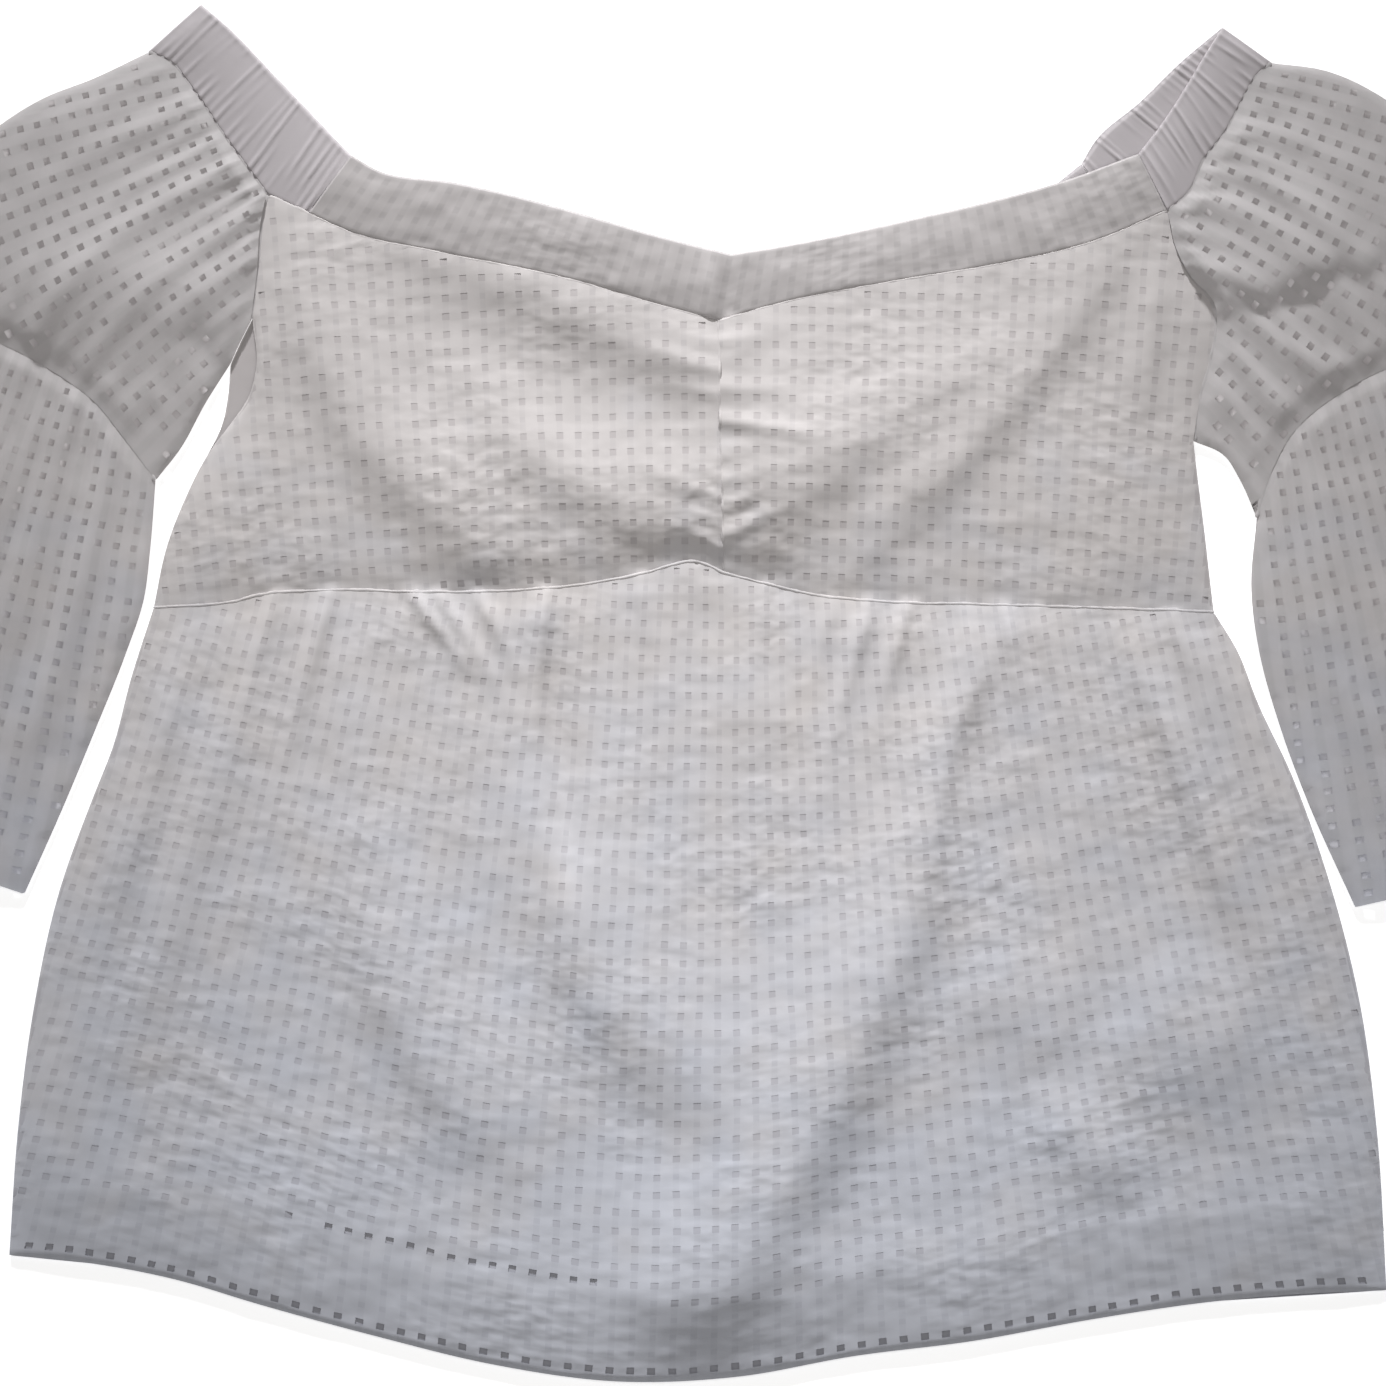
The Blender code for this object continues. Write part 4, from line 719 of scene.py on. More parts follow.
bodice_left_outline = ring_of(curve(WAIST_LEFT, 50), curve(CENTRE_SEAM, 20),
                              curve(NECK_SEAM_LEFT[::-1], 30), curve(BAND_TO_BODICE, 4),
                              curve(ARMHOLE_LEFT, 10), curve(FRONT_SIDE_LEFT, 30))
bodice_right_outline = ring_of(curve(WAIST_RIGHT, 50), curve(SIDE_RIGHT[::-1], 16),
                               curve(ARMHOLE_RIGHT[::-1], 24), curve(NECK_SEAM_RIGHT[::-1], 40),
                               curve(CENTRE_SEAM[::-1], 20))
peplum_outline = ring_of(curve(HEM, 100), curve(PEPLUM_SIDE_RIGHT[::-1], 50),
                         curve(WAIST_RIGHT[::-1], 50), curve(WAIST_LEFT[::-1], 50),
                         curve(PEPLUM_SIDE_LEFT, 50))
centre_line = curve(CENTRE_SEAM, 20)
armhole_left = joined(curve(BAND_TO_BODICE, 4), curve(ARMHOLE_LEFT, 8))
armhole_right = curve(ARMHOLE_RIGHT, 20)
bodice_left = front_net("bodice_left_net", bodice_left_outline, BODICE_FAN, 11,
                        [WAIST_LINE, NECK_LINE, centre_line, armhole_left],
                        "front_bodice_left")
bodice_right = front_net("bodice_right_net", bodice_right_outline, BODICE_FAN, 21,
                         [WAIST_LINE, NECK_LINE, centre_line, armhole_right],
                         "front_bodice_right")
peplum = front_net("peplum_net", peplum_outline, PEPLUM_FAN, 31, [WAIST_LINE],
                   "front_peplum", filled=in_hem, sag=hem_sag, sure=near_hem)
for piece in (bodice_left, bodice_right, peplum):
    print(piece.name, len(piece.data.polygons), "faces")

# %% Lining behind the front
LINING_GAP = 0.10      # air between the net and its lining, mm
LINING_FLOOR = BACK_TOP + 0.15       # lowest level of what lies between the front and the back
LINING_INSET = 0.8     # how far inside the seams the lining ends
LINING_DIP, LINING_REACH = 0.45, 2.0     # how far it sinks at its edges, and over what width
BELOW_LINING = 4       # steps of the side seams that lie below the lining's foot
LINING_CLEAR = 2.6     # how far the lining ends above the dark row of holes on the left


def front_lining(name, outline, fan, seed, sag=None):
    inner = shrink(outline, LINING_INSET)
    x, y, distance, u, v, faces = cloth_net(inner, fan, 0.0, seed, sag=sag)
    sunk = front_height(x, y) - LINING_GAP - dip(distance, LINING_DIP, LINING_REACH)
    level = np.maximum(sunk, LINING_FLOOR)
    return cloth_mesh(name, [(x, y, level, u, v, facing_up(x, y, faces))], lining_cotton_painted_shade)


bodice_left_lining = front_lining("bodice_left_lining", bodice_left_outline, BODICE_FAN, 11)
bodice_right_lining = front_lining("bodice_right_lining", bodice_right_outline, BODICE_FAN, 21)
lining_foot = curve(LINING_EDGE, 240)
over_top_row = (lining_foot[:, 0] > TOP_ROW_FROM - PITCH) & (lining_foot[:, 0] < TOP_ROW_TO + PITCH / 2)
lining_foot[over_top_row, 1] = line_height(lining_foot[over_top_row, 0], HEM_LINE) + TOP_ROW + LINING_CLEAR
peplum_lining_outline = ring_of(lining_foot, curve(PEPLUM_SIDE_RIGHT[::-1], 50)[BELOW_LINING:],
                                curve(WAIST_RIGHT[::-1], 50), curve(WAIST_LEFT[::-1], 50),
                                curve(PEPLUM_SIDE_LEFT, 50)[:-BELOW_LINING])
peplum_lining = front_lining("peplum_lining", peplum_lining_outline, PEPLUM_FAN, 31,
                             sag=hem_sag)

# %% Turned-up hem
FACING_GAP = 0.7      # how far the turned-up part lies below the net's face
SIDE_INSET = 1.4       # how far its ends lie inside the side seams
HEM_TURN = 0.9         # how far inside the hem's edge its turned-up part starts
HEM_OVERLAP = 8.0      # how far the turned-up part reaches above the lining's edge
facing_foot = curve(HEM, 100) + [0, HEM_TURN]
facing_top = curve(LINING_EDGE, 100)[::-1] + [0, HEM_OVERLAP]
hem_facing_outline = np.concatenate([facing_foot, facing_top])
side_left, side_right = curve(PEPLUM_SIDE_LEFT, 50)[::-1], curve(PEPLUM_SIDE_RIGHT, 50)[::-1]
left_limit = np.interp(hem_facing_outline[:, 1], side_left[:, 1], side_left[:, 0]) + SIDE_INSET
right_limit = np.interp(hem_facing_outline[:, 1], side_right[:, 1], side_right[:, 0]) - SIDE_INSET
hem_facing_outline[:, 0] = np.clip(hem_facing_outline[:, 0], left_limit, right_limit)
x, y, _, u, v, faces = cloth_net(hem_facing_outline, PEPLUM_FAN, 0.0, 31, sag=hem_sag)
level = np.maximum(front_height(x, y) - FACING_GAP, LINING_FLOOR)
# the turned-up part takes the lining's darkened colour, painted shade for the holes that look onto it
hem_facing = cloth_mesh("hem_facing", [(x, y, level, u, v, facing_up(x, y, faces))],
                        lining_cotton_painted_shade)

# %% [markdown]
# ## Seam ridges
# Where two pieces are sewn, the allowances stand up behind the seam as a thin pale ridge.
# Each ridge is a tube of uneven thickness swept along the seam line.

# %% Seam ridges
RIDGE_SIDES = 8


def ridge(name, line, radius, height, material, flat=0.8, uneven=0.3, seed=0):
    """A tube along a line; height gives the level of its middle."""
    after = np.gradient(line, axis=0)
    after /= np.linalg.norm(after, axis=1)[:, None] + 1e-9
    across = np.stack([-after[:, 1], after[:, 0]], axis=1)
    run = np.concatenate([[0], np.cumsum(np.linalg.norm(np.diff(line, axis=0), axis=1))])
    swelling = waves(run, 0 * run, 3.1, seed) + 0.5 * waves(run, 0 * run, 1.4, seed + 1)
    thick = radius * (1 + uneven * swelling)
    thick[0] *= 0.3
    thick[-1] *= 0.3
    sway = 0.35 * radius * waves(run, 0 * run + 40, 4.3, seed + 2)
    turn = np.linspace(0, 2 * np.pi, RIDGE_SIDES, endpoint=False)
    ring_x = line[:, 0, None] + across[:, 0, None] * (thick[:, None] * np.cos(turn) + sway[:, None])
    ring_y = line[:, 1, None] + across[:, 1, None] * (thick[:, None] * np.cos(turn) + sway[:, None])
    level = height(line[:, 0], line[:, 1])
    ring_z = level[:, None] + flat * thick[:, None] * np.sin(turn)
    count = len(line)
    index = np.arange(count * RIDGE_SIDES).reshape(count, RIDGE_SIDES)
    following = np.roll(index, -1, axis=1)
    faces = np.stack([index[:-1], index[1:], following[1:], following[:-1]], axis=-1).reshape(-1, 4)
    along = np.repeat(run / PITCH, RIDGE_SIDES)
    around = np.tile(turn / (2 * np.pi), count)
    part = (ring_x.reshape(-1), ring_y.reshape(-1), ring_z.reshape(-1), along, around, faces)
    return cloth_mesh(name, [part], material)


def on_front(lift):
    return lambda x, y: front_height(x, y) + lift


waist_ridge = ridge("waist_seam_ridge", joined(curve(WAIST_LEFT, 230), curve(WAIST_RIGHT, 200)), 0.7,
                    on_front(-0.22), net_cotton, flat=0.4, uneven=0.2, seed=301)
centre_ridge = ridge("centre_seam_ridge", curve(CENTRE_SEAM, 90), 0.6, on_front(-0.3),
                     net_cotton, flat=0.4, seed=305)
neck_ridge = ridge("neck_seam_ridge", joined(curve(NECK_SEAM_LEFT, 170), curve(NECK_SEAM_RIGHT, 170)), 0.6,
                   on_front(-0.4), net_cotton, flat=0.4, uneven=0.2, seed=309)


def front_allowance(name, line, seed):
    """The allowance that closes a seam of the front from below."""
    return ridge(name, line, 1.0, on_front(-0.72), net_cotton, flat=0.3, uneven=0.1, seed=seed)


waist_allowance = front_allowance("waist_seam_allowance", WAIST_LINE, 311)
centre_allowance = front_allowance("centre_seam_allowance", curve(CENTRE_SEAM, 40),
                                   313)
neck_allowance = front_allowance("neck_seam_allowance", joined(curve(BAND_TO_BODICE[::-1], 12), NECK_LINE),
                                 315)

# %% [markdown]
# ## Bands
# The neckline band is folded double and plain in front; over the shoulders it holds an
# elastic, so it is drawn up into short upright wrinkles.

# %% Bands
def patch(near, far, start, end):
    """A net of points inside four lines: near and far run along s, start and end along t."""
    s = np.linspace(0, 1, len(near))[:, None, None]
    t = np.linspace(0, 1, len(start))[None, :, None]
    corners = ((1 - s) * (1 - t) * near[0] + s * (1 - t) * near[-1]
               + (1 - s) * t * far[0] + s * t * far[-1])
    return ((1 - t) * near[:, None] + t * far[:, None]
            + (1 - s) * start[None] + s * end[None] - corners)


def tight_ends(line):
    """The line with one more point close to each of its ends, for a steep end face."""
    first = line[:1] * 0.85 + line[1:2] * 0.15
    last = line[-1:] * 0.85 + line[-2:-1] * 0.15
    return np.concatenate([line[:1], first, line[1:-1], last, line[-1:]])


def grid_faces(columns, rows):
    index = np.arange(columns * rows).reshape(columns, rows)
    corners = [index[:-1, :-1], index[1:, :-1], index[1:, 1:], index[:-1, 1:]]
    return np.stack(corners, axis=-1).reshape(-1, 4)


def band_shell(name, near, far, steps, top, under, material, node, rounding, near_rounding=None):
    """A band of folded cloth between its top and its underside, rounded along its far and near lines."""
    net = patch(tight_ends(near), tight_ends(far), curve([near[0], far[0]], steps),
                curve([near[-1], far[-1]], steps))
    columns, rows = net.shape[:2]
    outline = shrink(ring_of(net[:, 0], net[-1], net[::-1, -1], net[0, ::-1]), CUT_GAP)
    x, y = net[..., 0].reshape(-1), net[..., 1].reshape(-1)
    distance, bx, by = to_border(x, y, outline)
    outer = np.zeros((columns, rows), bool)
    outer[0] = outer[-1] = outer[:, 0] = outer[:, -1] = True
    outer = outer.reshape(-1)
    x, y = np.where(outer, bx, x), np.where(outer, by, y)
    distance = np.where(outer, 0, distance)
    s = np.repeat(np.linspace(0, 1, columns), rows)
    t = np.tile(np.linspace(0, 1, rows), columns)
    high, low = top(x, y, s, t), under(x, y, s, t)
    middle = (high + low) / 2
    to_side = np.minimum((distance_to(x, y, near) - CUT_GAP) / (near_rounding or rounding),
                         (distance_to(x, y, far) - CUT_GAP) / rounding)
    bulge = np.where(outer, 0, edge_curl(to_side, 1))
    faces = grid_faces(columns, rows)
    along = s * np.sum(np.linalg.norm(np.diff(net[:, 0], axis=0), axis=1)) / PITCH
    across = t * np.sum(np.linalg.norm(np.diff(net[0], axis=0), axis=1)) / PITCH + 0.45
    up = facing_up(x, y, faces)
    parts = [(x, y, middle + (high - middle) * bulge, along, across, up),
             (x, y, middle + (low - middle) * bulge, along, across, up[:, ::-1])]
    piece = cloth_mesh(name, parts, material, weld=True)
    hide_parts(node)
    return piece


def front_band_top(x, y, s, t):
    seam = front_height(x, line_height(x, NECK_LINE))
    rise = (2.6 - 2.4 * soft_step((x + 10) / 60)) * t + 0.9 * np.sin(np.pi * t)
    pinch = 1.6 * (bell(x - 3, 3.5) - bell(x - 10, 4)) * bell(y - 182, 14)
    uneven = 0.4 * waves(x, y, 14, 71) + 0.25 * waves(x, y, 6, 72)
    return seam - SEAM_DIP + rise + pinch + uneven * soft_step(t / 0.1)


def front_band_under(x, y, s, t):
    return np.maximum(front_band_top(x, y, s, t) - 0.5 - 1.9 * np.sin(np.pi * t), BASE - 0.2)


front_band = band_shell("neck_band", joined(curve(NECK_SEAM_LEFT, 170), curve(NECK_SEAM_RIGHT, 170)),
                        joined(curve(NECK_EDGE_LEFT, 170), curve(NECK_EDGE_RIGHT, 170)), 26,
                        front_band_top, front_band_under, band_cotton, "front_band", 0.8, 0.3)


def ruching(s, t, pleats, seed):
    """Elastic wrinkles straight across a band; each is stronger in some places than others."""
    phase = pleats * s + 0.5 * waves(pleats * s, 2.5 * t, 3, seed)
    strength = 0.45 + 0.85 * waves(pleats * s, 1.6 * t, 1, seed + 2)
    return (1 - np.abs(np.sin(np.pi * phase))) ** 1.2 * np.clip(strength, 0, None)


def shoulder(name, sleeve, neck, pleats, seed, node):
    def top(x, y, s, t):
        across = np.sin(np.pi * np.clip(t, 0, 0.9) / 1.2)
        fold_over = 1 - 0.75 * soft_step((s - 0.93) / 0.07)
        return BASE + WALL + (0.1 + 1.5 * across + 0.75 * ruching(s, t, pleats, seed)) * fold_over

    def under(x, y, s, t):
        return np.maximum(top(x, y, s, t) - 0.5 - 4 * t, BASE)

    return band_shell(name, sleeve, neck, 30, top, under, ruched_cotton, node, 1.0, 0.3)


shoulder_left = shoulder("shoulder_band_left_ruched",
                         joined(curve(BAND_TO_BODICE, 24), curve(SHOULDER_SLEEVE_LEFT, 96)),
                         curve(SHOULDER_NECK_LEFT, 120), 26, 81,
                         "shoulder_band_left")
shoulder_right = shoulder("shoulder_band_right_ruched", curve(SHOULDER_SLEEVE_RIGHT, 120),
                          curve(SHOULDER_NECK_RIGHT, 120), 18, 91,
                          "shoulder_band_right")


def flat_top(pleats):
    return lambda x, y, s, t: 0.6 + 0.8 * ruching(s, t, pleats, 95)


def flat_under(x, y, s, t):
    return np.full_like(x, 0.1)


def back_shell(name, near, far, pleats, node):
    return band_shell(name, near, far, 16, flat_top(pleats), flat_under, ruched_cotton, node, 0.6)


back_band = back_shell("back_band_ruched", curve(BACK_BAND_SEAM, 420), curve(BACK_NECK_EDGE, 420), 96,
                       "back_band")
back_left = back_shell("shoulder_band_left_back",
                       joined(curve(BAND_TO_BODICE, 12), curve(SHOULDER_SLEEVE_LEFT, 60)),
                       curve(BACK_NECK_LEFT, 72), 24, "shoulder_band_left")
back_right = back_shell("shoulder_band_right_back",
                        joined(curve([BACK_BAND_SEAM[-1], SHOULDER_SLEEVE_RIGHT[0]], 12),
                               curve(SHOULDER_SLEEVE_RIGHT, 120)),
                        curve(BACK_NECK_RIGHT, 132), 26, "shoulder_band_right")

# %% [markdown]
# ## Sleeves
# Each sleeve is a flattened tube in two parts: a puff between the band and the elbow seam,
# and a flare below it. The front of the tube is pleated and swollen; its back lies flat.
# They are unlined, so their holes look into the dark inside.

# %% Sleeve pieces
PUFF_PLEATS = table(Pleat, (0.08, 0.018, 2.6, 0.40), (0.15, 0.014, 1.8, 0.28), (0.23, 0.030, 5.0, 0.55),
    (0.31, 0.014, 2.0, 0.30), (0.38, 0.020, 3.4, 0.52), (0.47, 0.034, 5.4, 0.62), (0.56, 0.014, 2.2, 0.30),
    (0.63, 0.024, 4.2, 0.46), (0.73, 0.032, 4.6, 0.58), (0.83, 0.016, 2.2, 0.34), (0.91, 0.020, 2.4, 0.44))
ELBOW_PLEATS = table(Pleat, (0.08, 0.018, 2.0, 0.22), (0.18, 0.028, 4.2, 0.44), (0.27, 0.014, 1.8, 0.20),
    (0.35, 0.022, 3.2, 0.34), (0.45, 0.032, 4.6, 0.52), (0.55, 0.014, 2.0, 0.24), (0.63, 0.026, 3.8, 0.40),
    (0.72, 0.016, 2.2, 0.24), (0.81, 0.030, 4.0, 0.46), (0.91, 0.016, 2.0, 0.24))
FLARE_WAVES = table(Pleat, (0.12, 0.050, 3.0, 0.80), (0.30, 0.045, 4.4, 0.90), (0.48, 0.055, 3.6, 0.75),
    (0.66, 0.045, 4.6, 0.90), (0.84, 0.050, 3.2, 0.80))
PUFF_CREASES_LEFT = table(Crease, (-352, 190, -268, 184, -192, 176, 22, 26, 1.0, 4.6),
    (-330, 240, -279, 270, -238, 284, 5, 12, 1.0, 2.2), (-238, 170, -228, 156, -219, 140, 7, 7, 1.0, -2.6),
    (-262, 104, -268, 124, -284, 150, 5, 6, 1.3, 2.2), (-276, 114, -288, 136, -306, 158, 5, 6, 1.3, 2.0),
    (-246, 104, -246, 122, -254, 144, 4, 5, 1.3, 2.0))
PUFF_CREASES_RIGHT = table(Crease, (196, 164, 249, 188, 330, 214, 24, 13, 1.2, 4.4),
    (212, 160, 249, 174, 330, 200, 5, 5, 1.0, -1.4), (226, 258, 253, 240, 296, 204, 14, 9, 1.3, 3.4),
    (228, 172, 252, 142, 282, 116, 5, 6, 1.4, 2.4), (226, 158, 240, 130, 262, 98, 4, 5, 1.4, 2.0),
    (244, 176, 276, 152, 312, 136, 6, 7, 1.4, 2.2), (234, 122, 248, 106, 262, 84, 6, 5, 1.0, -1.6))
FLARE_CREASES_LEFT = table(Crease, (-260, 100, -264, 40, -288, -40, 5, 7, 1.0, 3.4),
    (-276, 122, -286, 50, -318, -60, 8, 6, 1.2, 3.6), (-304, 148, -332, 60, -376, -50, 12, 9, 1.2, 4.0),
    (-342, 160, -374, 60, -422, -34, 12, 10, 1.2, 3.4))
FLARE_CREASES_RIGHT = table(Crease, (258, 90, 260, 30, 276, -50, 6, 5, 1.0, 3.4),
    (276, 122, 284, 40, 314, -70, 7, 9, 1.2, 3.8), (306, 144, 336, 50, 380, -60, 10, 13, 1.2, 4.0),
    (346, 156, 382, 60, 428, -40, 11, 12, 1.2, 3.4))
PUFF_SWELL = 5.0
FLARE_SWELL = 2.4
PLEAT_SHARE = 0.55     # the cloth's pleats are softer than the solid's
FOLD_LEVEL = 1.4       # height of a sleeve's folded edges
SLEEVE_UNDERSIDE = 0.25
FRONT_CURL, BACK_CURL = 3.2, 1.6     # how far from a folded edge the front and the back curl up to it
TUCK, TUCK_REACH = 0.4, 6.0    # how low the cloth starts at a gathered seam, and over how far it rises
FOOT_TUCK, FOOT_REACH = 0.3, 12.0    # the same at the lower end of a puff

BACK_SHIFT = 1.0       # how far outwards the back's holes lie, so that those of both layers don't line up
PUFF_FAN_LEFT = Fan(-22.3, 331.5, 275, math.radians(213))
FLARE_FAN_LEFT = Fan(-214, 428, 365, math.radians(250))
PUFF_FAN_RIGHT = Fan(22, 345, 275, math.radians(-33))
FLARE_FAN_RIGHT = Fan(214, 420, 365, math.radians(-70))


def pleat_height(s, t, pleats):
    height = np.zeros(np.shape(s))
    for pleat in pleats:
        height = height + pleat.height * bell(t, pleat.reach) * bell(s - pleat.at, pleat.width * 1.4)
    return height


def tube_profile(s):
    """Fullness across a flattened tube, from one folded edge to the other."""
    return np.sin(np.pi * np.clip(s, 0, 1)) ** 0.7


def gathers(s, t, count, reach, seed):
    """Fine uneven gathers that run out from a seam at t = 0."""
    phase = count * s + 0.5 * waves(s * 60, t * 12, 7, seed)
    strength = np.clip(0.6 + 0.6 * waves(s * 90, 0 * s, 6, seed + 1), 0, None)
    return (1 - np.abs(np.sin(np.pi * phase))) ** 1.3 * strength * bell(t, reach)


def puff_relief(s, t):
    across = tube_profile(s)
    swell = PUFF_SWELL * (0.35 + 0.65 * np.sin(np.pi * np.clip(t, 0, 1)))
    pleats = pleat_height(s, t, PUFF_PLEATS) + pleat_height(s, 1 - t, ELBOW_PLEATS)
    fine = 2.0 * gathers(s, t, 24, 0.09, 171) + 1.8 * gathers(s, 1 - t, 20, 0.08, 181)
    return (swell + PLEAT_SHARE * pleats + fine) * across


def flare_relief(s, t):
    across = tube_profile(s)
    swell = FLARE_SWELL * (0.5 + 0.5 * t)
    pleats = pleat_height(s, t, ELBOW_PLEATS) + pleat_height(s, 1 - t, FLARE_WAVES)
    return (swell + PLEAT_SHARE * pleats + 1.8 * gathers(s, t, 20, 0.08, 191)) * across


def find_shares(net, x, y):
    """The s and t of points that lie in a patch."""
    columns, rows = net.shape[:2]
    coarse = net[::3, ::3].reshape(-1, 2)
    si, ti = np.meshgrid(np.arange(0, columns, 3), np.arange(0, rows, 3), indexing="ij")
    s, t = np.zeros(len(x)), np.zeros(len(x))
    for k in range(0, len(x), 4000):
        part = slice(k, k + 4000)
        far = (x[part, None] - coarse[None, :, 0]) ** 2 + (y[part, None] - coarse[None, :, 1]) ** 2
        closest = np.argmin(far, axis=1)
        s[part], t[part] = si.reshape(-1)[closest], ti.reshape(-1)[closest]
    for _ in range(6):
        i = np.clip(s.astype(int), 0, columns - 2)
        j = np.clip(t.astype(int), 0, rows - 2)
        a, b = (s - i)[:, None], (t - j)[:, None]
        p00, p10, p01, p11 = net[i, j], net[i + 1, j], net[i, j + 1], net[i + 1, j + 1]
        here = p00 * (1 - a) * (1 - b) + p10 * a * (1 - b) + p01 * (1 - a) * b + p11 * a * b
        ds = (p10 - p00) * (1 - b) + (p11 - p01) * b
        dt = (p01 - p00) * (1 - a) + (p11 - p10) * a
        rest = np.stack([x, y], axis=1) - here
        det = ds[:, 0] * dt[:, 1] - ds[:, 1] * dt[:, 0]
        det = np.where(np.abs(det) < 1e-9, 1e-9, det)
        move_s = np.clip((rest[:, 0] * dt[:, 1] - rest[:, 1] * dt[:, 0]) / det, -3, 3)
        move_t = np.clip((ds[:, 0] * rest[:, 1] - ds[:, 1] * rest[:, 0]) / det, -3, 3)
        s, t = np.clip(s + move_s, 0, columns - 1), np.clip(t + move_t, 0, rows - 1)
    return s / (columns - 1), t / (rows - 1)


def sleeve_part(name, head, foot, outer, inner, fan, relief, creases, seed, node, open_foot=False):
    """A flattened tube of net: a pleated front and a flat back on one outline."""
    outer, inner = curve(outer, 36), curve(inner, 36)
    net = patch(head, foot, outer, inner)
    outline = ring_of(head, inner, foot[::-1], outer[::-1])
    x, y, _, u, v, faces = cloth_net(outline, fan, 0.93, seed)
    s, t = find_shares(net, x, y)
    ragged = y + 3.5 * waves(x, 0 * x, 10, seed + 33)
    rise = relief(s, t) + tube_profile(s) * sum(crease_height(x, ragged, crease) for crease in creases)
    rise = rise + 0.4 * waves(x, y, 15, seed + 30) + 0.12 * waves(x, y, 7, seed + 31)
    rise = rise * (TUCK + (1 - TUCK) * soft_step(distance_to(x, y, head) / TUCK_REACH))
    if not open_foot:
        rise = rise * (FOOT_TUCK + (1 - FOOT_TUCK) * soft_step(distance_to(x, y, foot) / FOOT_REACH))
    top = BASE + WALL + np.maximum(rise, 0)
    to_fold = np.minimum(distance_to(x, y, outer), distance_to(x, y, inner))
    front = FOLD_LEVEL + (top - FOLD_LEVEL) * edge_curl(to_fold, FRONT_CURL)
    if open_foot:
        front = np.minimum(front, BASE + WALL + 6 * distance_to(x, y, foot))
    shifted = Fan(fan.x + math.copysign(BACK_SHIFT, fan.x), fan.y, fan.radius + PITCH / 2,
                  fan.angle + PITCH / 2 / fan.radius)
    bx, by, _, bu, bv, back_faces = cloth_net(outline, shifted, 0.97, seed)
    back_fold = np.minimum(distance_to(bx, by, outer), distance_to(bx, by, inner))
    back = FOLD_LEVEL + (SLEEVE_UNDERSIDE - FOLD_LEVEL) * edge_curl(back_fold, BACK_CURL)
    parts = [(x, y, front, u, v, facing_up(x, y, faces)),
             (bx, by, back, bu, bv, facing_up(bx, by, back_faces)[:, ::-1])]
    piece = cloth_mesh(name, parts, sleeve_cotton)
    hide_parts(node)
    print(name, len(piece.data.polygons), "faces")
    return piece


head_left = joined(curve(SHOULDER_SLEEVE_LEFT[::-1], 30), curve(ARMHOLE_LEFT, 14),
                   curve(ARMPIT_LEFT, 6))
head_right = joined(curve(SHOULDER_SLEEVE_RIGHT[::-1], 26), curve(ARMHOLE_RIGHT, 24))
elbow_left, elbow_right = curve(ELBOW_LEFT, 50), curve(ELBOW_RIGHT, 50)
puff_left = sleeve_part("sleeve_puff_left", head_left, elbow_left, PUFF_OUTER_LEFT, PUFF_INNER_LEFT,
                        PUFF_FAN_LEFT, puff_relief, PUFF_CREASES_LEFT, 101, "sleeve_upper_left")
flare_left = sleeve_part("sleeve_flare_left", elbow_left, curve(CUFF_LEFT, 50), FLARE_OUTER_LEFT,
                         FLARE_INNER_LEFT, FLARE_FAN_LEFT, flare_relief, FLARE_CREASES_LEFT, 111,
                         "sleeve_lower_left", open_foot=True)
puff_right = sleeve_part("sleeve_puff_right", head_right, elbow_right, PUFF_OUTER_RIGHT, PUFF_INNER_RIGHT,
                         PUFF_FAN_RIGHT, puff_relief, PUFF_CREASES_RIGHT, 121, "sleeve_upper_right")
flare_right = sleeve_part("sleeve_flare_right", elbow_right, curve(CUFF_RIGHT, 50), FLARE_OUTER_RIGHT,
                          FLARE_INNER_RIGHT, FLARE_FAN_RIGHT, flare_relief, FLARE_CREASES_RIGHT, 131,
                          "sleeve_lower_right", open_foot=True)

# %% Sleeve seams
ALLOWANCE_LEVEL = 2.65     # height of the allowances in the sleeves' seams


def sleeve_seam(name, line, seed):
    """The allowance that closes a sleeve's seam from below."""
    return ridge(name + "_allowance", line, 1.3, lambda x, y: np.full_like(x, ALLOWANCE_LEVEL),
                 sleeve_cotton, flat=0.3, uneven=0.1, seed=seed)


puff_left_seams = [
    sleeve_seam("sleeve_head_left", curve(SHOULDER_SLEEVE_LEFT, 110), 321),
    sleeve_seam("armhole_left", curve(ARMHOLE_LEFT, 70), 331)]
puff_right_seams = [
    sleeve_seam("sleeve_head_right", curve(SHOULDER_SLEEVE_RIGHT, 110), 341),
    sleeve_seam("armhole_right", curve(ARMHOLE_RIGHT, 130), 351)]
flare_left_seams = [sleeve_seam("elbow_left", curve(ELBOW_LEFT, 170), 361)]
flare_right_seams = [sleeve_seam("elbow_right", curve(ELBOW_RIGHT, 160), 371)]

# %% [markdown]
# ## Back
# The back lies flat on the table. From above only slivers of it show, but from below it is
# all there is, so it gets its own net and lining.

# %% Back pieces
back_bodice_outline = ring_of(curve(BACK_WAIST, 40), curve(SIDE_RIGHT[::-1], 16),
                              curve(ARMHOLE_RIGHT[::-1], 24),
                              curve([ARMHOLE_RIGHT[0], BACK_BAND_SEAM[-1]], 2),
                              curve(BACK_BAND_SEAM[::-1], 40), curve(BAND_TO_BODICE, 3),
                              curve(ARMHOLE_LEFT, 10), curve(ARMPIT_LEFT, 6),
                              curve(BACK_SIDE_LEFT, 20))
back_peplum_outline = ring_of(curve(BACK_HEM, 80), curve(PEPLUM_SIDE_RIGHT[::-1], 50),
                              curve(BACK_WAIST[::-1], 40), curve(PEPLUM_SIDE_LEFT, 50))


BACK_UNDERSIDE = 0.2
BACK_EDGE_RISE, BACK_EDGE_REACH = 0.7, 2.0    # how far the back's edges turn up, and over what width
BACK_LINING_LEVEL = 0.95


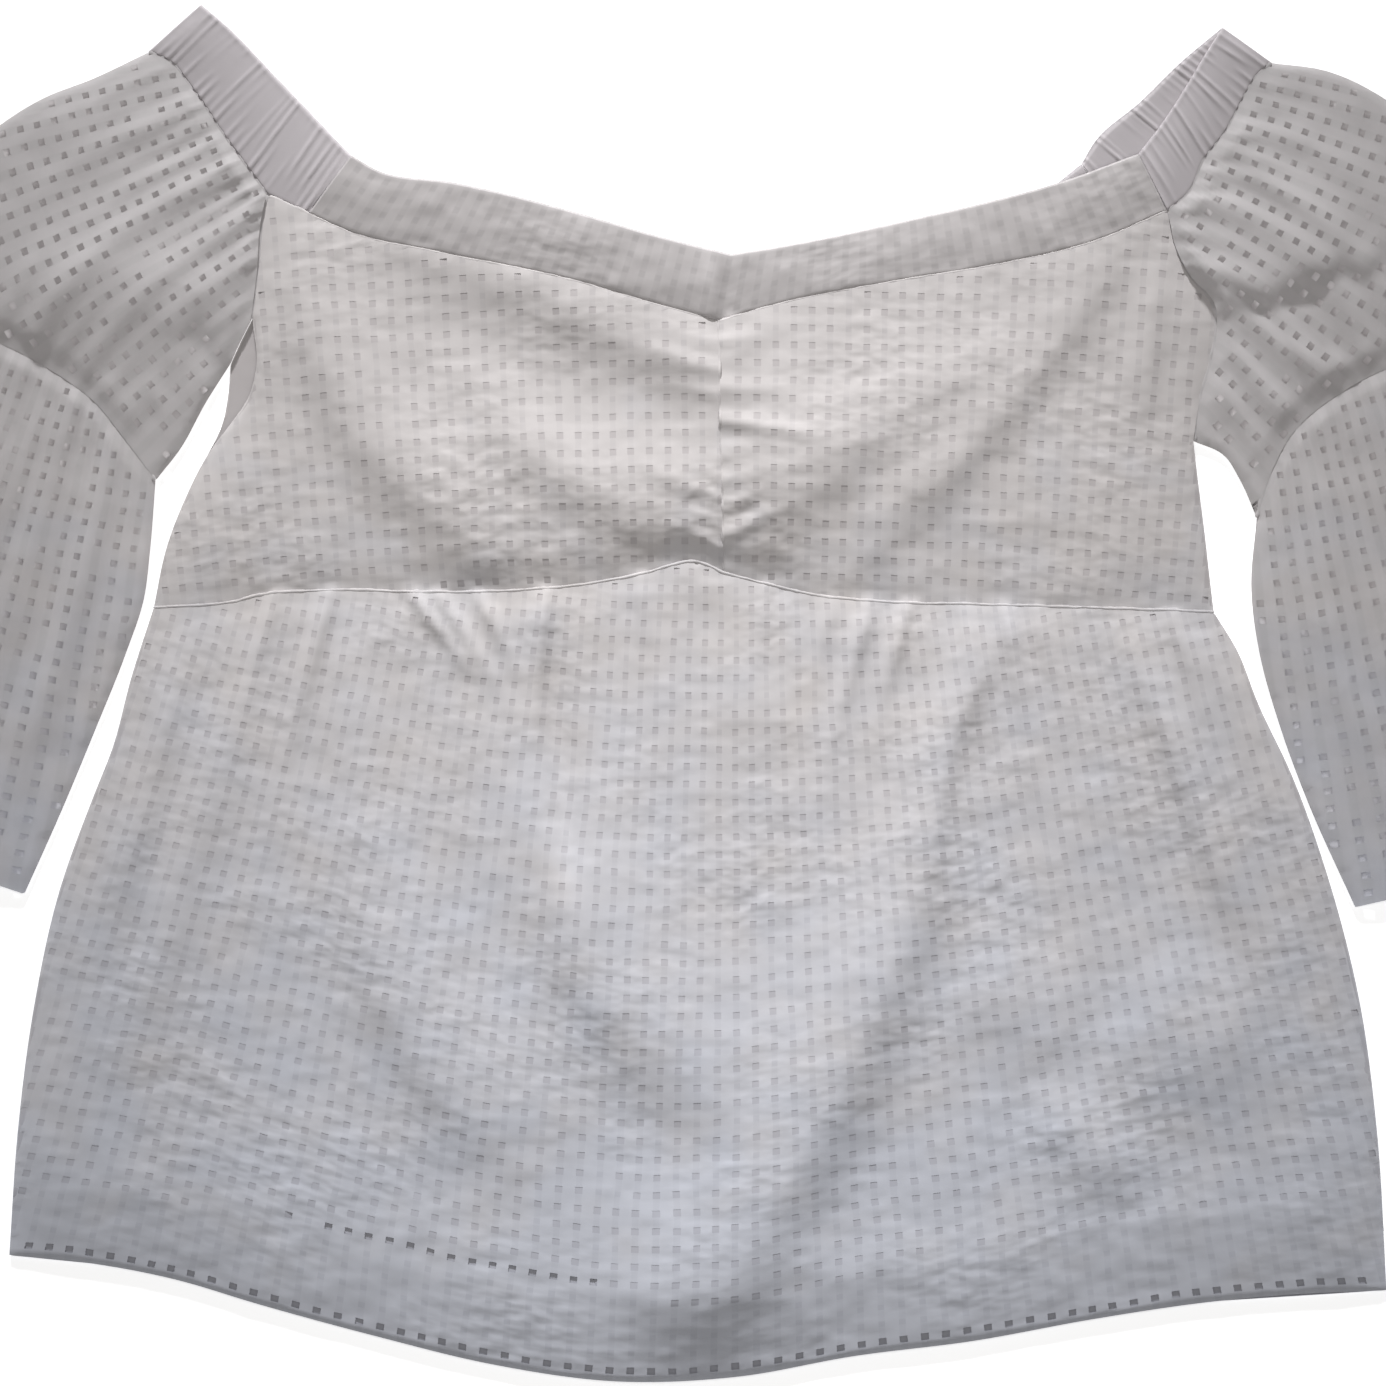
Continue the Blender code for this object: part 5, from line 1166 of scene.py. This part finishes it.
def back_piece(name, outline, fan, seed, node):
    x, y, distance, u, v, faces = cloth_net(outline, fan, 0.985, seed)
    curl = 1 - edge_curl(distance, BACK_EDGE_REACH)
    z = BACK_UNDERSIDE + BACK_EDGE_RISE * curl
    net_part = (x, y, z, u, v, facing_up(x, y, faces)[:, ::-1])
    piece = cloth_mesh(name, [net_part], back_cotton)
    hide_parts(node)
    lx, ly, _, lu, lv, lining_faces = plain_sheet(shrink(outline, 1.0), 8.0)
    level = np.full_like(lx, BACK_LINING_LEVEL)
    lining_part = (lx, ly, level, lu, lv, facing_up(lx, ly, lining_faces))
    lining = cloth_mesh(name.replace("net", "lining"), [lining_part], lining_cotton_painted_shade)
    return piece, lining


back_bodice, back_bodice_lining = back_piece("back_bodice_net", back_bodice_outline, BODICE_FAN, 141,
                                             "back_bodice")
back_peplum, back_peplum_lining = back_piece("back_peplum_net", back_peplum_outline, PEPLUM_FAN, 151,
                                             "back_peplum")

# %% [markdown]
# ## The table
# A white light table, softly lit from inside, as product tables are: it keeps the ground
# pure white, so that the pale cloth stands out on it.

# %% Table
def plain_material(name, hex_value, roughness, glow):
    material = bpy.data.materials.new(name)
    material.use_nodes = True
    shader = material.node_tree.nodes["Principled BSDF"]
    shader.inputs["Base Color"].default_value = colour(hex_value)
    shader.inputs["Roughness"].default_value = roughness
    shader.inputs["Emission Color"].default_value = (1.0, 1.0, 1.0, 1.0)
    shader.inputs["Emission Strength"].default_value = glow
    return material


bpy.ops.object.select_all(action="DESELECT")
bpy.ops.mesh.primitive_plane_add(size=6.0, location=(0, 0, -0.0004))
table_top = bpy.context.object
table_top.name = "table"
table_top.data.materials.append(plain_material("white_light_table", "#f4f4f4", 0.6, 0.60))

# %% [markdown]
# ## What each piece was cut from
# Gathered edges were cut wider than they show.


# %% [markdown]
# ## Light and camera
# A broad soft light from beyond the neckline, an even fill all round, and a camera
# straight over the blouse.

# %% Stage
def soft_light(name, position, target, size, energy, tint):
    data = bpy.data.lights.new(name, "AREA")
    data.shape = "RECTANGLE"
    data.size, data.size_y = size
    data.energy = energy
    data.color = tint
    lamp = bpy.data.objects.new(name, data)
    lamp.location = position
    direction = np.array(target) - np.array(position)
    lamp.rotation_mode = "QUATERNION"
    lamp.rotation_quaternion = Vector(direction).to_track_quat("-Z", "Y")
    bpy.context.collection.objects.link(lamp)
    return lamp


KEY_DISTANCE = 6.0
KEY_HEIGHT_ANGLE = math.radians(21)
KEY_TURN = math.radians(4)      # towards the viewer's left
key_place = (-KEY_DISTANCE * math.cos(KEY_HEIGHT_ANGLE) * math.sin(KEY_TURN),
             KEY_DISTANCE * math.cos(KEY_HEIGHT_ANGLE) * math.cos(KEY_TURN),
             KEY_DISTANCE * math.sin(KEY_HEIGHT_ANGLE))
key = soft_light("window_beyond_neckline", key_place, (0, 0, 0), (0.5, 0.5), 2.25, (0.98, 0.985, 1.0))
key.data.spread = math.radians(10)
soft_light("soft_box_overhead", (0, 0, 0.8), (0, 0, 0), (0.25, 0.25), 1.5, (1.0, 0.985, 0.97))
world = bpy.data.worlds.new("studio")
world.use_nodes = True
world.node_tree.nodes["Background"].inputs["Color"].default_value = (1.0, 0.985, 0.97, 1.0)
world.node_tree.nodes["Background"].inputs["Strength"].default_value = 0.21
bpy.context.scene.world = world
bpy.context.scene.view_settings.view_transform = "Standard"

FRAME_WIDTH = 0.632    # metres of table across the picture
CAMERA_HEIGHT = 1.7
camera_data = bpy.data.cameras.new("camera")
camera_data.sensor_width = 36.0
camera_data.lens = 36.0 * CAMERA_HEIGHT / FRAME_WIDTH
camera = bpy.data.objects.new("camera", camera_data)
camera.location = (-0.0055, 0.0, CAMERA_HEIGHT + 0.005)
bpy.context.collection.objects.link(camera)
bpy.context.scene.camera = camera

# %% Close the lesson
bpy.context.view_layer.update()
triangles = sum(2 * len(o.data.polygons) for o in bpy.data.objects if o.type == "MESH" and "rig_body" in o)
print("triangles about", triangles)
